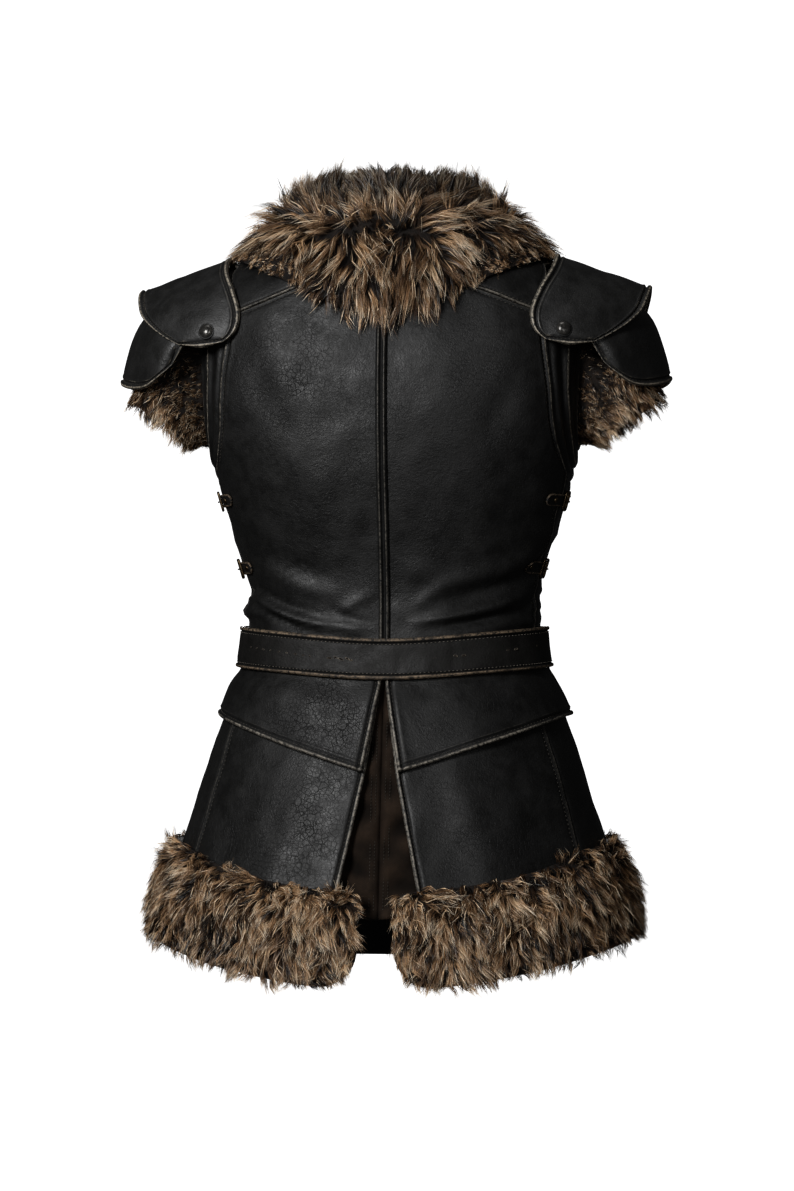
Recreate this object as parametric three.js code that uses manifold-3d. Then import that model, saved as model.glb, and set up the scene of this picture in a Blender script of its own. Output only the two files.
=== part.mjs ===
// Viking vest: a sleeveless leather jerkin with a fur shawl collar, layered shoulder
// caps, short fur cap sleeves, a leather belt, a two-tier skirt with a vent at the
// centre back, and fur along the hem. Millimetres, +Z up.
//
// Frame: the wearer faces -Y, so the back is at +Y; +X is the wearer's left.
// The origin lies between the wearer's shoulders at the height of the side of the
// neck, which is where the vest hangs from. The garment keeps its worn, hollow form.

import * as THREE from 'three';
import Module from 'manifold-3d';
import { mergeVertices } from 'three/addons/utils/BufferGeometryUtils.js';

// ---------------------------------------------------------------- sizes
const WALL = 2.2;            // leather of the body and the skirt
const GAP = 0.3;             // between pieces at a seam
const CAP_WALL = 2.6;        // doubled leather of the shoulder caps
const BELT_WIDTH = 44;
const BELT_WALL = 3.4;
const BELT_OFF = 5.8;        // the belt's inner face, out from the leather under it
const BELT_TOP = -402;       // at the sides
const BELT_DIP_BACK = 12.5;  // how much lower the belt sits at the centre back
const BELT_DIP_FRONT = 4;
const WAIST_SEAM = -427.5;   // under the belt, where bodice and skirt meet
const STRIP_WIDTH = 8.6;     // raised strip over the centre back seam
const BAND_WIDTH = 34;       // front band
const HEM_BACK = -726;       // leather under the hem fur
const HEM_FRONT = -766;      // front leather, which shows through the back vent
const LINER_HEM = -691;      // brown cloth behind the vent
const SNAP_D = 15.5;

// Horizontal sections of the garment's outer face, from the neck to the hem.
// z height, a half width, b depth to the back, f depth to the front, n squareness
const TORSO = [
  //  z      a      b      f     n
  [   6,    80,    50,    46,  2.0 ],
  [  -8,   124,    74,    68,  2.1 ],
  [ -22,   163,    92,    86,  2.2 ],
  [ -45,   186,   108,   102,  2.5 ],
  [ -80,   197,   119,   115,  2.8 ],
  [-120,   200,   127,   122,  2.9 ],
  [-170,   198,   130,   127,  2.8 ],
  [-222,   191.6, 127,   126,  2.65],
  [-270,   179.5, 119,   121,  2.5 ],
  [-322,   163.7, 107,   113,  2.4 ],
  [-364,   152.6,  99,   106,  2.3 ],
  [-385,   156,    98,   105,  2.3 ],
  [-402,   152.8,  98,   104.5,2.3 ],
  [-430,   155.5, 100,   106,  2.3 ],
  [-448,   158.4, 103,   108,  2.3 ],
  [-460,   164.5, 107,   112,  2.3 ],
  [-480,   173,   115,   119,  2.25],
  [-511,   184.3, 125,   128,  2.2 ],
  [-549,   196,   136,   138,  2.2 ],
  [-585,   207.3, 146,   147,  2.2 ],
  [-617,   218,   154,   155,  2.15],
  [-660,   231,   165,   165,  2.15],
  [-710,   246,   176,   174,  2.1 ],
  [-775,   264,   190,   187,  2.1 ],
];

// Armhole band: half a ring, from the top of the shoulder over the back to the underarm.
// inner edge (phi, z) and outer edge (phi, z); the front half mirrors it.
const ARMHOLE = [
  // phiIn  zIn  phiOut  zOut
  [  0,    -41,    0,    -25 ],
  [  7,    -50,   15,    -31 ],
  [ 11.5,  -80,   26,    -58 ],
  [ 13.5, -125,   29.5, -105 ],
  [ 13,   -168,   28,   -156 ],
  [ 10,   -198,   24,   -208 ],
  [  5,   -211,   14,   -243 ],
  [  0,   -214,    0,   -256 ],
];

// Yoke seam on the back and the front: phi from the shoulder to the centre, height.
const YOKE_BACK = [[30, -81], [41, -66], [52, -51], [70, -33], [90, -21]];
const YOKE_FRONT = [[30, -81], [41, -66], [52, -55], [61, -46]];
// Neckline: angle from the centre back, height
const NECK = [[0, -8], [45, -1], [90, 6], [120, 0], [150, -28], [165, -62], [180, -98]];
// Side seam below the armhole band: height, phi
const SIDE_SEAM = [[-243, 14], [-262, 12], [-322, 11], [-430, 11]];

// Shoulder caps, seen from the back: rows from the crown over the shoulder to the hem,
// inner edge point, outer edge point, and how far the row bulges between them.
const CAP_UPPER = [
  // xi   yi    zi     xo   yo    zo   bulge
  [169,    0,  -14,   270,   0,  -50,  0.5],
  [170,   30,  -20,   269,  17,  -55,  2],
  [167,   62,  -35,   266,  35,  -65,  4],
  [157,   87,  -56,   260,  52,  -79,  6],
  [149,   99,  -80,   246,  68,  -93,  7],
  [153,  104, -100,   228,  82, -105,  6],
  [170,  102, -114,   208,  93, -115,  3],
];
const CAP_LOWER = [
  [206,    0,  -40,   290,   0, -146, 25],
  [205,   26,  -44,   284,  25, -151, 23],
  [203,   50,  -55,   270,  48, -155, 19],
  [200,   68,  -70,   252,  66, -154, 13],
  [199,   79,  -86,   236,  76, -143,  8],
  [201,   81, -101,   219,  78, -127,  3],
];

// Fur cap sleeve: hem ring centre, half axes in the XZ plane and along Y
const SLEEVE = { cx: 241, cz: -187, ax: 39, az: 24, by: 56, wall: 11 };

// Fur collar: angle from the centre back, then the outline of its section as
// (r, z) pairs from the top edge at the neck down the outside
const COLLAR = [
  // ang   r0   z0    r1   z1    r2   z2    r3   z3    r4   z4    s at the lower edge
  [  0,    80,  66,  102,  68,  128,  48,  147,   8,  150, -46,  4.30],
  [ 20,    80,  65,  102,  67,  128,  47,  148,   8,  151, -42,  3.95],
  [ 45,    82,  62,  106,  63,  134,  43,  155,   5,  157, -32,  3.15],
  [ 70,    84,  59,  110,  59,  140,  39,  160,   8,  164, -10,  2.30],
  [ 90,    86,  56,  110,  56,  138,  38,  156,  13,  163,  -2,  1.85],
  [110,    86,  50,  108,  49,  134,  30,  151,   3,  158, -14,  2.20],
  [135,    88,  36,  108,  34,  128,  14,  143, -18,  148, -48,  3.60],
  [158,   104, -22,  122, -24,  138, -46,  146, -80,  146,-112,  5.10],
  [180,   122, -86,  134, -86,  146,-104,  150,-134,  147,-160,  6.00],
];

// Hem fur: angle from the centre back, top edge and bottom edge heights, thickness
const HEM_FUR = [
  // ang   top    bottom  thick
  [  6,   -667,  -757,    25],
  [ 20,   -666,  -760,    28],
  [ 45,   -654,  -748,    29],
  [ 70,   -632,  -730,    28],
  [ 90,   -627,  -722,    27],
  [110,   -632,  -728,    28],
  [135,   -650,  -742,    28],
  [160,   -662,  -756,    27],
  [174,   -665,  -760,    25],
];

// Flap hem: the skirt's upper tier is shortest at the side and longest at the centre
const FLAP_SIDE = -497, FLAP_CENTRE = -549.5;
// Vent edges at the centre back: height, distance from the middle
const VENT_FLAP = [[-430, 1.2], [-462, 2.2], [-549.5, 18]];
const VENT_SKIRT = [[-430, 1.2], [-470, 3.5], [-551, 15.5], [-667, 40], [-730, 50]];
const SKIRT_SEAM_PHI = 22;

// ---------------------------------------------------------------- helpers
const D = Math.PI / 180;
const lerp = (a, b, t) => a + (b - a) * t;
const clamp = (x, a, b) => Math.min(Math.max(x, a), b);
const smooth = (a, b, x) => { const t = clamp((x - a) / (b - a), 0, 1); return t * t * (3 - 2 * t); };

// a smooth row of a table at a fractional index
function row(T, s) {
  const n = T.length - 1, i = clamp(Math.floor(s), 0, n - 1), f = s - i;
  const p1 = T[i], p2 = T[i + 1];
  const p0 = T[i - 1] ?? p1.map((v, k) => 2 * v - p2[k]);
  const p3 = T[i + 2] ?? p2.map((v, k) => 2 * v - p1[k]);
  return p1.map((_, k) => 0.5 * ((2 * p1[k]) + (-p0[k] + p2[k]) * f
    + (2 * p0[k] - 5 * p1[k] + 4 * p2[k] - p3[k]) * f * f
    + (-p0[k] + 3 * p1[k] - 3 * p2[k] + p3[k]) * f * f * f));
}
// a straight-line reading of column j of a table against column i
function read(T, x, i = 0, j = 1) {
  const up = T[0][i] < T[T.length - 1][i];
  for (let k = 0; k < T.length - 1; k++) {
    const a = T[k], b = T[k + 1];
    if ((up && x <= b[i]) || (!up && x >= b[i]) || k === T.length - 2) {
      return lerp(a[j], b[j], clamp((x - a[i]) / (b[i] - a[i]), 0, 1));
    }
  }
}
// the smooth row of a table at a value of its first column
function rowAt(T, x) {
  let lo = 0, hi = T.length - 1;
  const up = T[hi][0] > T[0][0];
  for (let k = 0; k < 40; k++) {
    const m = (lo + hi) / 2;
    if ((row(T, m)[0] < x) === up) lo = m; else hi = m;
  }
  return row(T, (lo + hi) / 2);
}
const sCache = new Map();
function sOfZ(z) {
  const key = Math.round(z * 1000);
  if (sCache.has(key)) return sCache.get(key);
  let lo = 0, hi = TORSO.length - 1;
  for (let k = 0; k < 40; k++) { const m = (lo + hi) / 2; if (row(TORSO, m)[0] > z) lo = m; else hi = m; }
  sCache.set(key, (lo + hi) / 2);
  return (lo + hi) / 2;
}
// garment face at a plan angle phi (degrees, 0 = wearer's left, 90 = back) and row s
function face(phi, s) {
  const [z, a, b, f, n] = row(TORSO, s);
  const c = Math.cos(phi * D), q = Math.sin(phi * D), d = q > 0 ? b : f;
  const r = Math.pow(Math.pow(Math.abs(c) / a, n) + Math.pow(Math.abs(q) / d, n), -1 / n);
  return [r * c, r * q, z];
}
function normal(phi, s) {
  const h = 0.4, k = 0.02;
  const p = face(phi + h, s), m = face(phi - h, s), d = face(phi, s + k), u = face(phi, s - k);
  const A = new THREE.Vector3(d[0] - u[0], d[1] - u[1], d[2] - u[2]);
  const B = new THREE.Vector3(p[0] - m[0], p[1] - m[1], p[2] - m[2]);
  return A.cross(B).normalize();
}
function out(phi, s, off) {
  const p = face(phi, s), n = normal(phi, s);
  return [p[0] + n.x * off, p[1] + n.y * off, p[2] + n.z * off];
}
const outZ = (phi, z, off) => out(phi, sOfZ(z), off);
// plan angle where the face crosses x on the back (or front) half
function phiAtX(x, s, front = false) {
  let lo = 0, hi = 90;
  for (let k = 0; k < 40; k++) { const m = (lo + hi) / 2; if (face(front ? -m : m, s)[0] > x) lo = m; else hi = m; }
  return (front ? -1 : 1) * (lo + hi) / 2;
}

// closed mesh from two grids of points, the outer and the inner face of a wall
function slab(outer, inner, nu, nv, closedU = false) {
  const pos = [], idx = [], W = nv + 1, N = (closedU ? nu : nu + 1) * W;
  for (const f of [outer, inner]) {
    for (let i = 0; i < (closedU ? nu : nu + 1); i++) for (let j = 0; j <= nv; j++) pos.push(...f(i / nu, j / nv));
  }
  const id = (i, j, k) => (closedU ? i % nu : i) * W + j + k * N;
  const quad = (a, b, c, d) => idx.push(a, b, c, a, c, d);
  for (let i = 0; i < nu; i++) for (let j = 0; j < nv; j++) {
    quad(id(i, j, 0), id(i + 1, j, 0), id(i + 1, j + 1, 0), id(i, j + 1, 0));
    quad(id(i, j, 1), id(i, j + 1, 1), id(i + 1, j + 1, 1), id(i + 1, j, 1));
  }
  for (let i = 0; i < nu; i++) {
    quad(id(i, 0, 0), id(i, 0, 1), id(i + 1, 0, 1), id(i + 1, 0, 0));
    quad(id(i, nv, 0), id(i + 1, nv, 0), id(i + 1, nv, 1), id(i, nv, 1));
  }
  if (!closedU) for (let j = 0; j < nv; j++) {
    quad(id(0, j, 0), id(0, j + 1, 0), id(0, j + 1, 1), id(0, j, 1));
    quad(id(nu, j, 0), id(nu, j, 1), id(nu, j + 1, 1), id(nu, j + 1, 0));
  }
  return finish(pos, idx);
}
function volumeOf(pos, idx) {
  let v = 0;
  for (let i = 0; i < idx.length; i += 3) {
    const [a, b, c] = [idx[i] * 3, idx[i + 1] * 3, idx[i + 2] * 3];
    v += pos[a] * (pos[b + 1] * pos[c + 2] - pos[b + 2] * pos[c + 1])
      - pos[a + 1] * (pos[b] * pos[c + 2] - pos[b + 2] * pos[c])
      + pos[a + 2] * (pos[b] * pos[c + 1] - pos[b + 1] * pos[c]);
  }
  return v / 6;
}
function finish(pos, idx) {
  if (volumeOf(pos, idx) < 0) for (let i = 0; i < idx.length; i += 3) [idx[i], idx[i + 1]] = [idx[i + 1], idx[i]];
  const g = new THREE.BufferGeometry();
  g.setAttribute('position', new THREE.Float32BufferAttribute(pos, 3));
  g.setIndex(idx);
  return g;
}
function mirrored(g) {
  const p = Array.from(g.attributes.position.array), i = Array.from(g.index.array);
  for (let k = 0; k < p.length; k += 3) p[k] = -p[k];
  return finish(p, i);
}
// a wall of the garment between two side lines phi(z) and two end lines s(phi)
function panel({ left, right, top, bottom, nu, nv, off = 0, wall = WALL }) {
  const at = (u, v, o) => {
    let s = 6, phi = 45;
    for (let k = 0; k < 12; k++) {
      const z = row(TORSO, s)[0];
      phi = lerp(left(z), right(z), u);
      s = lerp(top(phi), bottom(phi), v);
    }
    return out(phi, s, o(phi, row(TORSO, s)[0]));
  };
  const o = typeof off === 'function' ? off : () => off;
  return slab((u, v) => at(u, v, o), (u, v) => at(u, v, (p, z) => o(p, z) - wall), nu, nv);
}

// ---------------------------------------------------------------- materials
const mat = (color, roughness, metalness = 0) => new THREE.MeshStandardMaterial({ color, roughness, metalness });
const LEATHER = mat(0x1b1a19, 0.5), BELT = mat(0x1f1b18, 0.5), FUR = mat(0x4a3828, 0.95);
const CLOTH = mat(0x1f1712, 0.9), BRONZE = mat(0x5a4a33, 0.4, 1), SNAP = mat(0x15110f, 0.35, 0.6);

const vest = new THREE.Group();
function add(name, geometry, material) {
  const m = new THREE.Mesh(geometry, material);
  m.name = name;
  vest.add(m);
  return m;
}
function pair(name, g, material) {
  add(`${name}_L`, g, material);
  add(`${name}_R`, mirrored(g), material);
}

// ---------------------------------------------------------------- bodice
const ARM_STEPS = 10;                      // facets of the band on each half
const armLine = Array.from({ length: ARM_STEPS + 1 }, (_, k) => {
  const r = row(ARMHOLE, k / ARM_STEPS * (ARMHOLE.length - 1));
  return [r[3], Math.max(r[2], 0)];
});
const armOut = (z) => read(armLine.filter((q) => q[0] < -45), z);   // its outer line at a height
const sideLine = (z) => (z > -243 ? armOut(z) : read(SIDE_SEAM, z));
const gapPhi = (z) => (GAP / 2 + (z > -180 ? 0.9 : z > -262 ? 2.8 : 0.2)) / 190 / D;
const seamB = (z) => sideLine(clamp(z, -432, -60)) + gapPhi(z);
const backMid = (z) => phiAtX(GAP / 2, sOfZ(z));
const frontMid = (z) => phiAtX(GAP / 2 + 0.1, sOfZ(z), true);
const yokeBack = (phi) => sOfZ(read(YOKE_BACK, clamp(phi, 30, 90)) - (phi < 34 ? 1.2 : 0));
const yokeFront = (phi) => sOfZ(read(YOKE_FRONT, clamp(-phi, 30, 61)) - (phi > -34 ? 1.2 : 0));
const neckS = (phi) => sOfZ(read(NECK, Math.abs(90 - phi)));
const waistS = sOfZ(WAIST_SEAM);

pair('back', panel({
  left: seamB, right: backMid, top: (p) => yokeBack(p) + 0.018, bottom: () => waistS, nu: 6, nv: 13,
}), LEATHER);
pair('front', panel({
  left: (z) => -seamB(z), right: frontMid,
  top: (p) => (p > -61 ? yokeFront(p) + 0.018 : Math.max(yokeFront(-61) + 0.018, neckS(p))),
  bottom: () => waistS, nu: 6, nv: 12,
}), LEATHER);

// yoke: from the centre back over the shoulder to the front neckline
const YOKE_LOW = [
  ...YOKE_BACK.slice().reverse().map(([p, z]) => [p, z]),
  ...ARMHOLE.slice(0, 3).reverse().map((r) => [r[2], r[3] + 2.2]),
  ...ARMHOLE.slice(1, 3).map((r) => [-r[2], r[3] + 2.2]),
  ...YOKE_FRONT.map(([p, z]) => [-p, z]),
];
const yokeSteps = [];
for (let k = 0; k < YOKE_LOW.length - 1; k++) {
  yokeSteps.push(YOKE_LOW[k], [lerp(YOKE_LOW[k][0], YOKE_LOW[k + 1][0], 0.5), lerp(YOKE_LOW[k][1], YOKE_LOW[k + 1][1], 0.5)]);
}
yokeSteps.push(YOKE_LOW[YOKE_LOW.length - 1]);
{
  const n = yokeSteps.length - 1;
  const at = (u, v, o) => {
    let [phi, z] = yokeSteps[Math.round(u * n)];
    if (phi > 89.9) phi = phiAtX(GAP / 2, 0.9);
    const s1 = sOfZ(z) - 0.012, s0 = Math.min(neckS(phi), s1 - 0.08);
    return out(phi, lerp(s0, s1, v), o);
  };
  pair('yoke', slab((u, v) => at(u, v, 0), (u, v) => at(u, v, -WALL), n, 3), LEATHER);
}

// armhole band, a ring whose outer line meets the panels and the yoke
{
  const n = ARMHOLE.length - 1;
  const ringAt = (u, v, o) => {
    const w = u * 2 * n, back = w <= n, r = row(ARMHOLE, back ? w : 2 * n - w);
    const g = 0.8 / 190 / D;
    const phiO = Math.max(r[2] - g, 0), pin = Math.max(r[0], 0);
    const zO = r[3] + (r[3] > -100 ? -1.8 : 0.9);
    const phi = lerp(phiO, pin, v) * (back ? 1 : -1), s = lerp(sOfZ(zO), sOfZ(r[1]), v);
    return out(phi, s, o - 0.2);
  };
  pair('armhole_band', slab((u, v) => ringAt(u, v, 0), (u, v) => ringAt(u, v, -WALL), 2 * ARM_STEPS, 1, true), LEATHER);
}

// side panel under the arm
pair('side', panel({
  left: (z) => read(SIDE_SEAM, clamp(z, -430, -243)) - gapPhi(z) - 0.3,
  right: (z) => -read(SIDE_SEAM, clamp(z, -430, -243)) + gapPhi(z) + 0.3,
  top: (p) => sOfZ(read([[0, -257.4], [14, -245.2]], Math.abs(p)) - 1.4), bottom: () => waistS, nu: 3, nv: 7,
}), LEATHER);

// raised strip over the centre back seam, and the band that closes the front
{
  const make = (half, z0, z1, front, nv, lift, wall) => {
    const at = (u, v, o) => {
      const s = lerp(sOfZ(z0), sOfZ(z1), v), x = lerp(-half, half, u);
      const p = phiAtX(Math.max(Math.abs(x), 0.01), s, front), q = out(p, s, o);
      return [Math.sign(x || 1) * q[0], q[1], q[2]];
    };
    return slab((u, v) => at(u, v, lift + wall), (u, v) => at(u, v, lift), 2, nv);
  };
  add('back_strip', make(STRIP_WIDTH / 2, -99, -424, false, 12, 0.9, 2.0), LEATHER);
  add('front_band', make(BAND_WIDTH / 2, -183, -424, true, 9, 0.9, 2.0), LEATHER);
  add('front_band_low', make(BAND_WIDTH / 2, -560, HEM_FRONT, true, 5, 0.9, 2.0), LEATHER);
}

// ---------------------------------------------------------------- skirt
const beltTop = (phi) => {
  const q = Math.sin(phi * D);
  return BELT_TOP - (q > 0 ? BELT_DIP_BACK : BELT_DIP_FRONT) * Math.pow(Math.abs(q), 1.6);
};
const beltBot = (phi) => beltTop(phi) - BELT_WIDTH;
const skirtTop = waistS + sOfZ(WAIST_SEAM - 0.8) - sOfZ(WAIST_SEAM);
// pressed in a little under the belt, where the upper tier lies over it
const skirtOff = (phi, z) => -1.4 * (1 - smooth(0, 44, beltBot(phi) - z));
const ventPhi = (T) => (z) => phiAtX(read(T, z), sOfZ(z));
pair('skirt_back', panel({
  left: () => SKIRT_SEAM_PHI + 0.1, right: ventPhi(VENT_SKIRT), top: () => skirtTop,
  bottom: () => sOfZ(HEM_BACK), nu: 6, nv: 9, off: skirtOff,
}), LEATHER);
pair('skirt_side', panel({
  left: () => SKIRT_SEAM_PHI - 0.1, right: () => -SKIRT_SEAM_PHI + 0.1, top: () => skirtTop,
  bottom: () => sOfZ(HEM_BACK + 14), nu: 6, nv: 9, off: skirtOff,
}), LEATHER);
pair('skirt_front', panel({
  left: () => -SKIRT_SEAM_PHI - 0.1, right: (z) => phiAtX(GAP / 2 + 0.1, sOfZ(z), true), top: () => skirtTop,
  bottom: (p) => sOfZ(lerp(HEM_BACK + 14, HEM_FRONT, smooth(20, 62, -p))), nu: 6, nv: 9, off: skirtOff,
}), LEATHER);

// upper tier of the skirt, which hangs over the lower one from under the belt
const flapOff = (phi, z) => WALL + 1.0 + 2.8 * smooth(0, 26, beltBot(phi) - z);
const flapHem = (phi) => {
  const p = face(phi, sOfZ(-520)), k = clamp((Math.abs(p[0]) - 18) / (185 - 18), 0, 1);
  return lerp(FLAP_CENTRE, FLAP_SIDE, k);
};
pair('flap_back', panel({
  left: () => -1, right: ventPhi(VENT_FLAP), top: () => skirtTop,
  bottom: (p) => sOfZ(flapHem(p)), nu: 7, nv: 5, off: flapOff,
}), LEATHER);
pair('flap_front', panel({
  left: () => -1.4, right: (z) => phiAtX(lerp(1.2, 5, smooth(-440, -550, z) || 0), sOfZ(z), true), top: () => skirtTop,
  bottom: (p) => sOfZ(flapHem(p)), nu: 7, nv: 5, off: flapOff,
}), LEATHER);

// brown cloth behind the vent, in two halves with a seam at the middle
{
  const at = (u, v, o) => {
    const z = lerp(-446, LINER_HEM + 3 * (u - 0.4), v), s = sOfZ(z);
    const x = lerp(GAP / 2, 78 + 20 * v, u);
    const p = phiAtX(x, s), off = -lerp(4.4, 15, Math.pow(v, 1.3));
    return out(p, s, off - o);
  };
  pair('underlay', slab((u, v) => at(u, v, 0), (u, v) => at(u, v, 1.5), 4, 6), CLOTH);
}

// ---------------------------------------------------------------- fur
// hem fur: one strip each side, from the vent round to the front band
{
  const at = (u, v, o) => {
    const ang = lerp(6, 174, u), [, top, bot, thick] = rowAt(HEM_FUR, ang);
    const s0 = sOfZ(top), s1 = sOfZ(Math.max(bot, -774)), s = lerp(s0, s1, v);
    const body = Math.pow(clamp(Math.sin(Math.PI * (0.12 + 0.76 * v)), 0, 1), 0.7);
    const ends = 0.55 + 0.45 * smooth(0, 0.05, Math.min(u, 1 - u));
    return out(90 - ang, s, o ? 2.2 : 1.5 + thick * body * ends);
  };
  pair('hem_fur', slab((u, v) => at(u, v, 0), (u, v) => at(u, v, 1), 17, 5), FUR);
}
// shawl collar, one strip round the neck whose ends meet at the centre front
{
  const neckR = (phi) => { const p = face(phi, neckS(phi)); return Math.hypot(p[0], p[1]); };
  const section = (u) => {
    const ang = lerp(-179, 179, u), c = rowAt(COLLAR, Math.abs(ang)), phi = 90 - ang;
    const fold = phi > 90 ? 180 - phi : phi;              // the same on both sides
    return { c, phi: ang >= 0 ? fold : fold, sign: ang >= 0 ? 1 : -1 };
  };
  const place = (p, sign) => [p[0] * sign, p[1], p[2]];
  const polar = (phi, r, z) => [r * Math.cos(phi * D), r * Math.sin(phi * D), z];
  const outer = (u, v) => {
    const { c, phi, sign } = section(u);
    const a = 90 - Math.abs(lerp(-179, 179, u));
    const tip = out(a, c[11], 6.5), rt = Math.hypot(tip[0], tip[1]);
    const pts = [[rt, tip[2]], [c[9], c[10]], [c[7], c[8]], [c[5], c[6]], [c[3], c[4]], [c[1], c[2]]];
    const q = row(pts, v * (pts.length - 1));
    return place(polar(a, q[0], q[1]), sign);
  };
  const inner = (u, v) => {
    const { c, sign } = section(u);
    const a = 90 - Math.abs(lerp(-179, 179, u)), s0 = c[11], s1 = neckS(a) - 0.0;
    if (v <= 0.7) return place(out(a, lerp(s0, s1, v / 0.7), 3.0), sign);
    const p = out(a, s1, 3.0), r = Math.hypot(p[0], p[1]), t = (v - 0.7) / 0.3;
    return place(polar(a, lerp(r, c[1] - 7, t), lerp(p[2], c[2] - 3, t)), sign);
  };
  add('fur_collar', slab(outer, inner, 26, 7), FUR);
}
// cap sleeve: a ring sewn in the armhole, long over the shoulder and short underarm
{
  const n = ARMHOLE.length - 1;
  const armhole = (u, shrink) => {
    const w = u * 2 * n, back = w <= n, r = row(ARMHOLE, back ? w : 2 * n - w);
    const p = out(Math.max(r[0], 0) * (back ? 1 : -1), sOfZ(r[1]), -0.6);
    const cy = 0, cz = -128, dy = p[1] - cy, dz = p[2] - cz, l = Math.hypot(dy, dz);
    return [p[0] + 0.2, cy + dy * (1 - shrink / l), cz + dz * (1 - shrink / l)];
  };
  const hem = (u, grow) => {
    const a = u * 2 * Math.PI, S = SLEEVE;
    const k = 1 + grow / 50;
    return [S.cx + S.ax * k * Math.cos(a), S.by * k * Math.sin(a), S.cz + S.az * k * Math.cos(a)];
  };
  const at = (u, v, inside) => {
    const A = armhole(u, inside ? 5.0 : 1.4), H = hem(u, inside ? -SLEEVE.wall : 0);
    const top = Math.pow((1 + Math.cos(2 * Math.PI * u)) / 2, 0.8);
    const b = (inside ? 15 : 23) * top * Math.sin(Math.PI * Math.pow(v, 0.8));
    const side = (inside ? 0 : 7) * Math.sin(Math.PI * v) * Math.abs(Math.sin(2 * Math.PI * u));
    return [lerp(A[0], H[0], v) + b * 0.72 + 2 * v, lerp(A[1], H[1], v) + Math.sign(A[1]) * side, lerp(A[2], H[2], v) + b * 0.62];
  };
  pair('fur_sleeve', slab((u, v) => at(u, v, false), (u, v) => at(u, v, true), 20, 4, true), FUR);
}

// ---------------------------------------------------------------- shoulder caps
function capPoint(T, u, w, off) {
  // u from the inner to the outer edge, w from the front hem (-1) over the crown to the back hem (1)
  const at = (u2, w2) => {
    const r = row(T, Math.abs(w2) * (T.length - 1)), sgn = w2 < 0 ? -1 : 1;
    const x = lerp(r[0], r[3], u2), y = lerp(r[1], r[4], u2), z = lerp(r[2], r[5], u2);
    const d = new THREE.Vector3(0.75, y / 75, 0.65).normalize();
    const b = r[6] * Math.sin(Math.PI * u2);
    return new THREE.Vector3(x + d.x * b, sgn * (y + d.y * b), z + d.z * b);
  };
  const h = 0.004, p = at(u, w);
  const du = at(u + h, w).sub(at(u - h, w)), dw = at(u, w + h).sub(at(u, w - h));
  const nrm = du.cross(dw).normalize();
  if (nrm.z * 0.6 + nrm.x * 0.6 + nrm.y * p.y / 60 < 0) nrm.negate();
  return [p.x + nrm.x * off, p.y + nrm.y * off, p.z + nrm.z * off];
}
const capSlab = (T, nu, nw, wall) => slab(
  (u, v) => capPoint(T, u, v * 2 - 1, 0), (u, v) => capPoint(T, u, v * 2 - 1, -wall), nu, nw);
pair('cap_upper', capSlab(CAP_UPPER, 5, 14, CAP_WALL), LEATHER);
pair('cap_lower', capSlab(CAP_LOWER, 5, 12, CAP_WALL), LEATHER);

// snap heads on the upper caps, near the back hem: low domes on the leather
function discAt(p, nrm, r, h) {
  const prof = [[0, 0], [r, 0], [r, h * 0.25], [r * 0.86, h * 0.7], [r * 0.5, h * 0.95], [0, h]]
    .map(([x, y]) => new THREE.Vector2(x, y));
  let g = new THREE.LatheGeometry(prof, r > 5 ? 16 : 8);
  g.rotateX(Math.PI / 2);
  const q = new THREE.Quaternion().setFromUnitVectors(new THREE.Vector3(0, 0, 1), nrm);
  g.applyQuaternion(q);
  g.translate(p[0], p[1], p[2]);
  return clean(g);
}
function clean(g) {
  g.deleteAttribute('normal');
  g.deleteAttribute('uv');
  g = mergeVertices(g, 1e-4);
  const p = Array.from(g.attributes.position.array), raw = Array.from(g.index.array), i = [];
  for (let k = 0; k < raw.length; k += 3) {
    if (raw[k] !== raw[k + 1] && raw[k + 1] !== raw[k + 2] && raw[k] !== raw[k + 2]) i.push(raw[k], raw[k + 1], raw[k + 2]);
  }
  return finish(p, i);
}
{
  const u = 0.37, w = 0.83;
  const a = capPoint(CAP_UPPER, u, w, 0), b = capPoint(CAP_UPPER, u, w, 1);
  const nrm = new THREE.Vector3(b[0] - a[0], b[1] - a[1], b[2] - a[2]).normalize();
  const p = capPoint(CAP_UPPER, u, w, 0.75);
  pair('snap', discAt(p, nrm, SNAP_D / 2, 4), SNAP);
}

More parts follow.
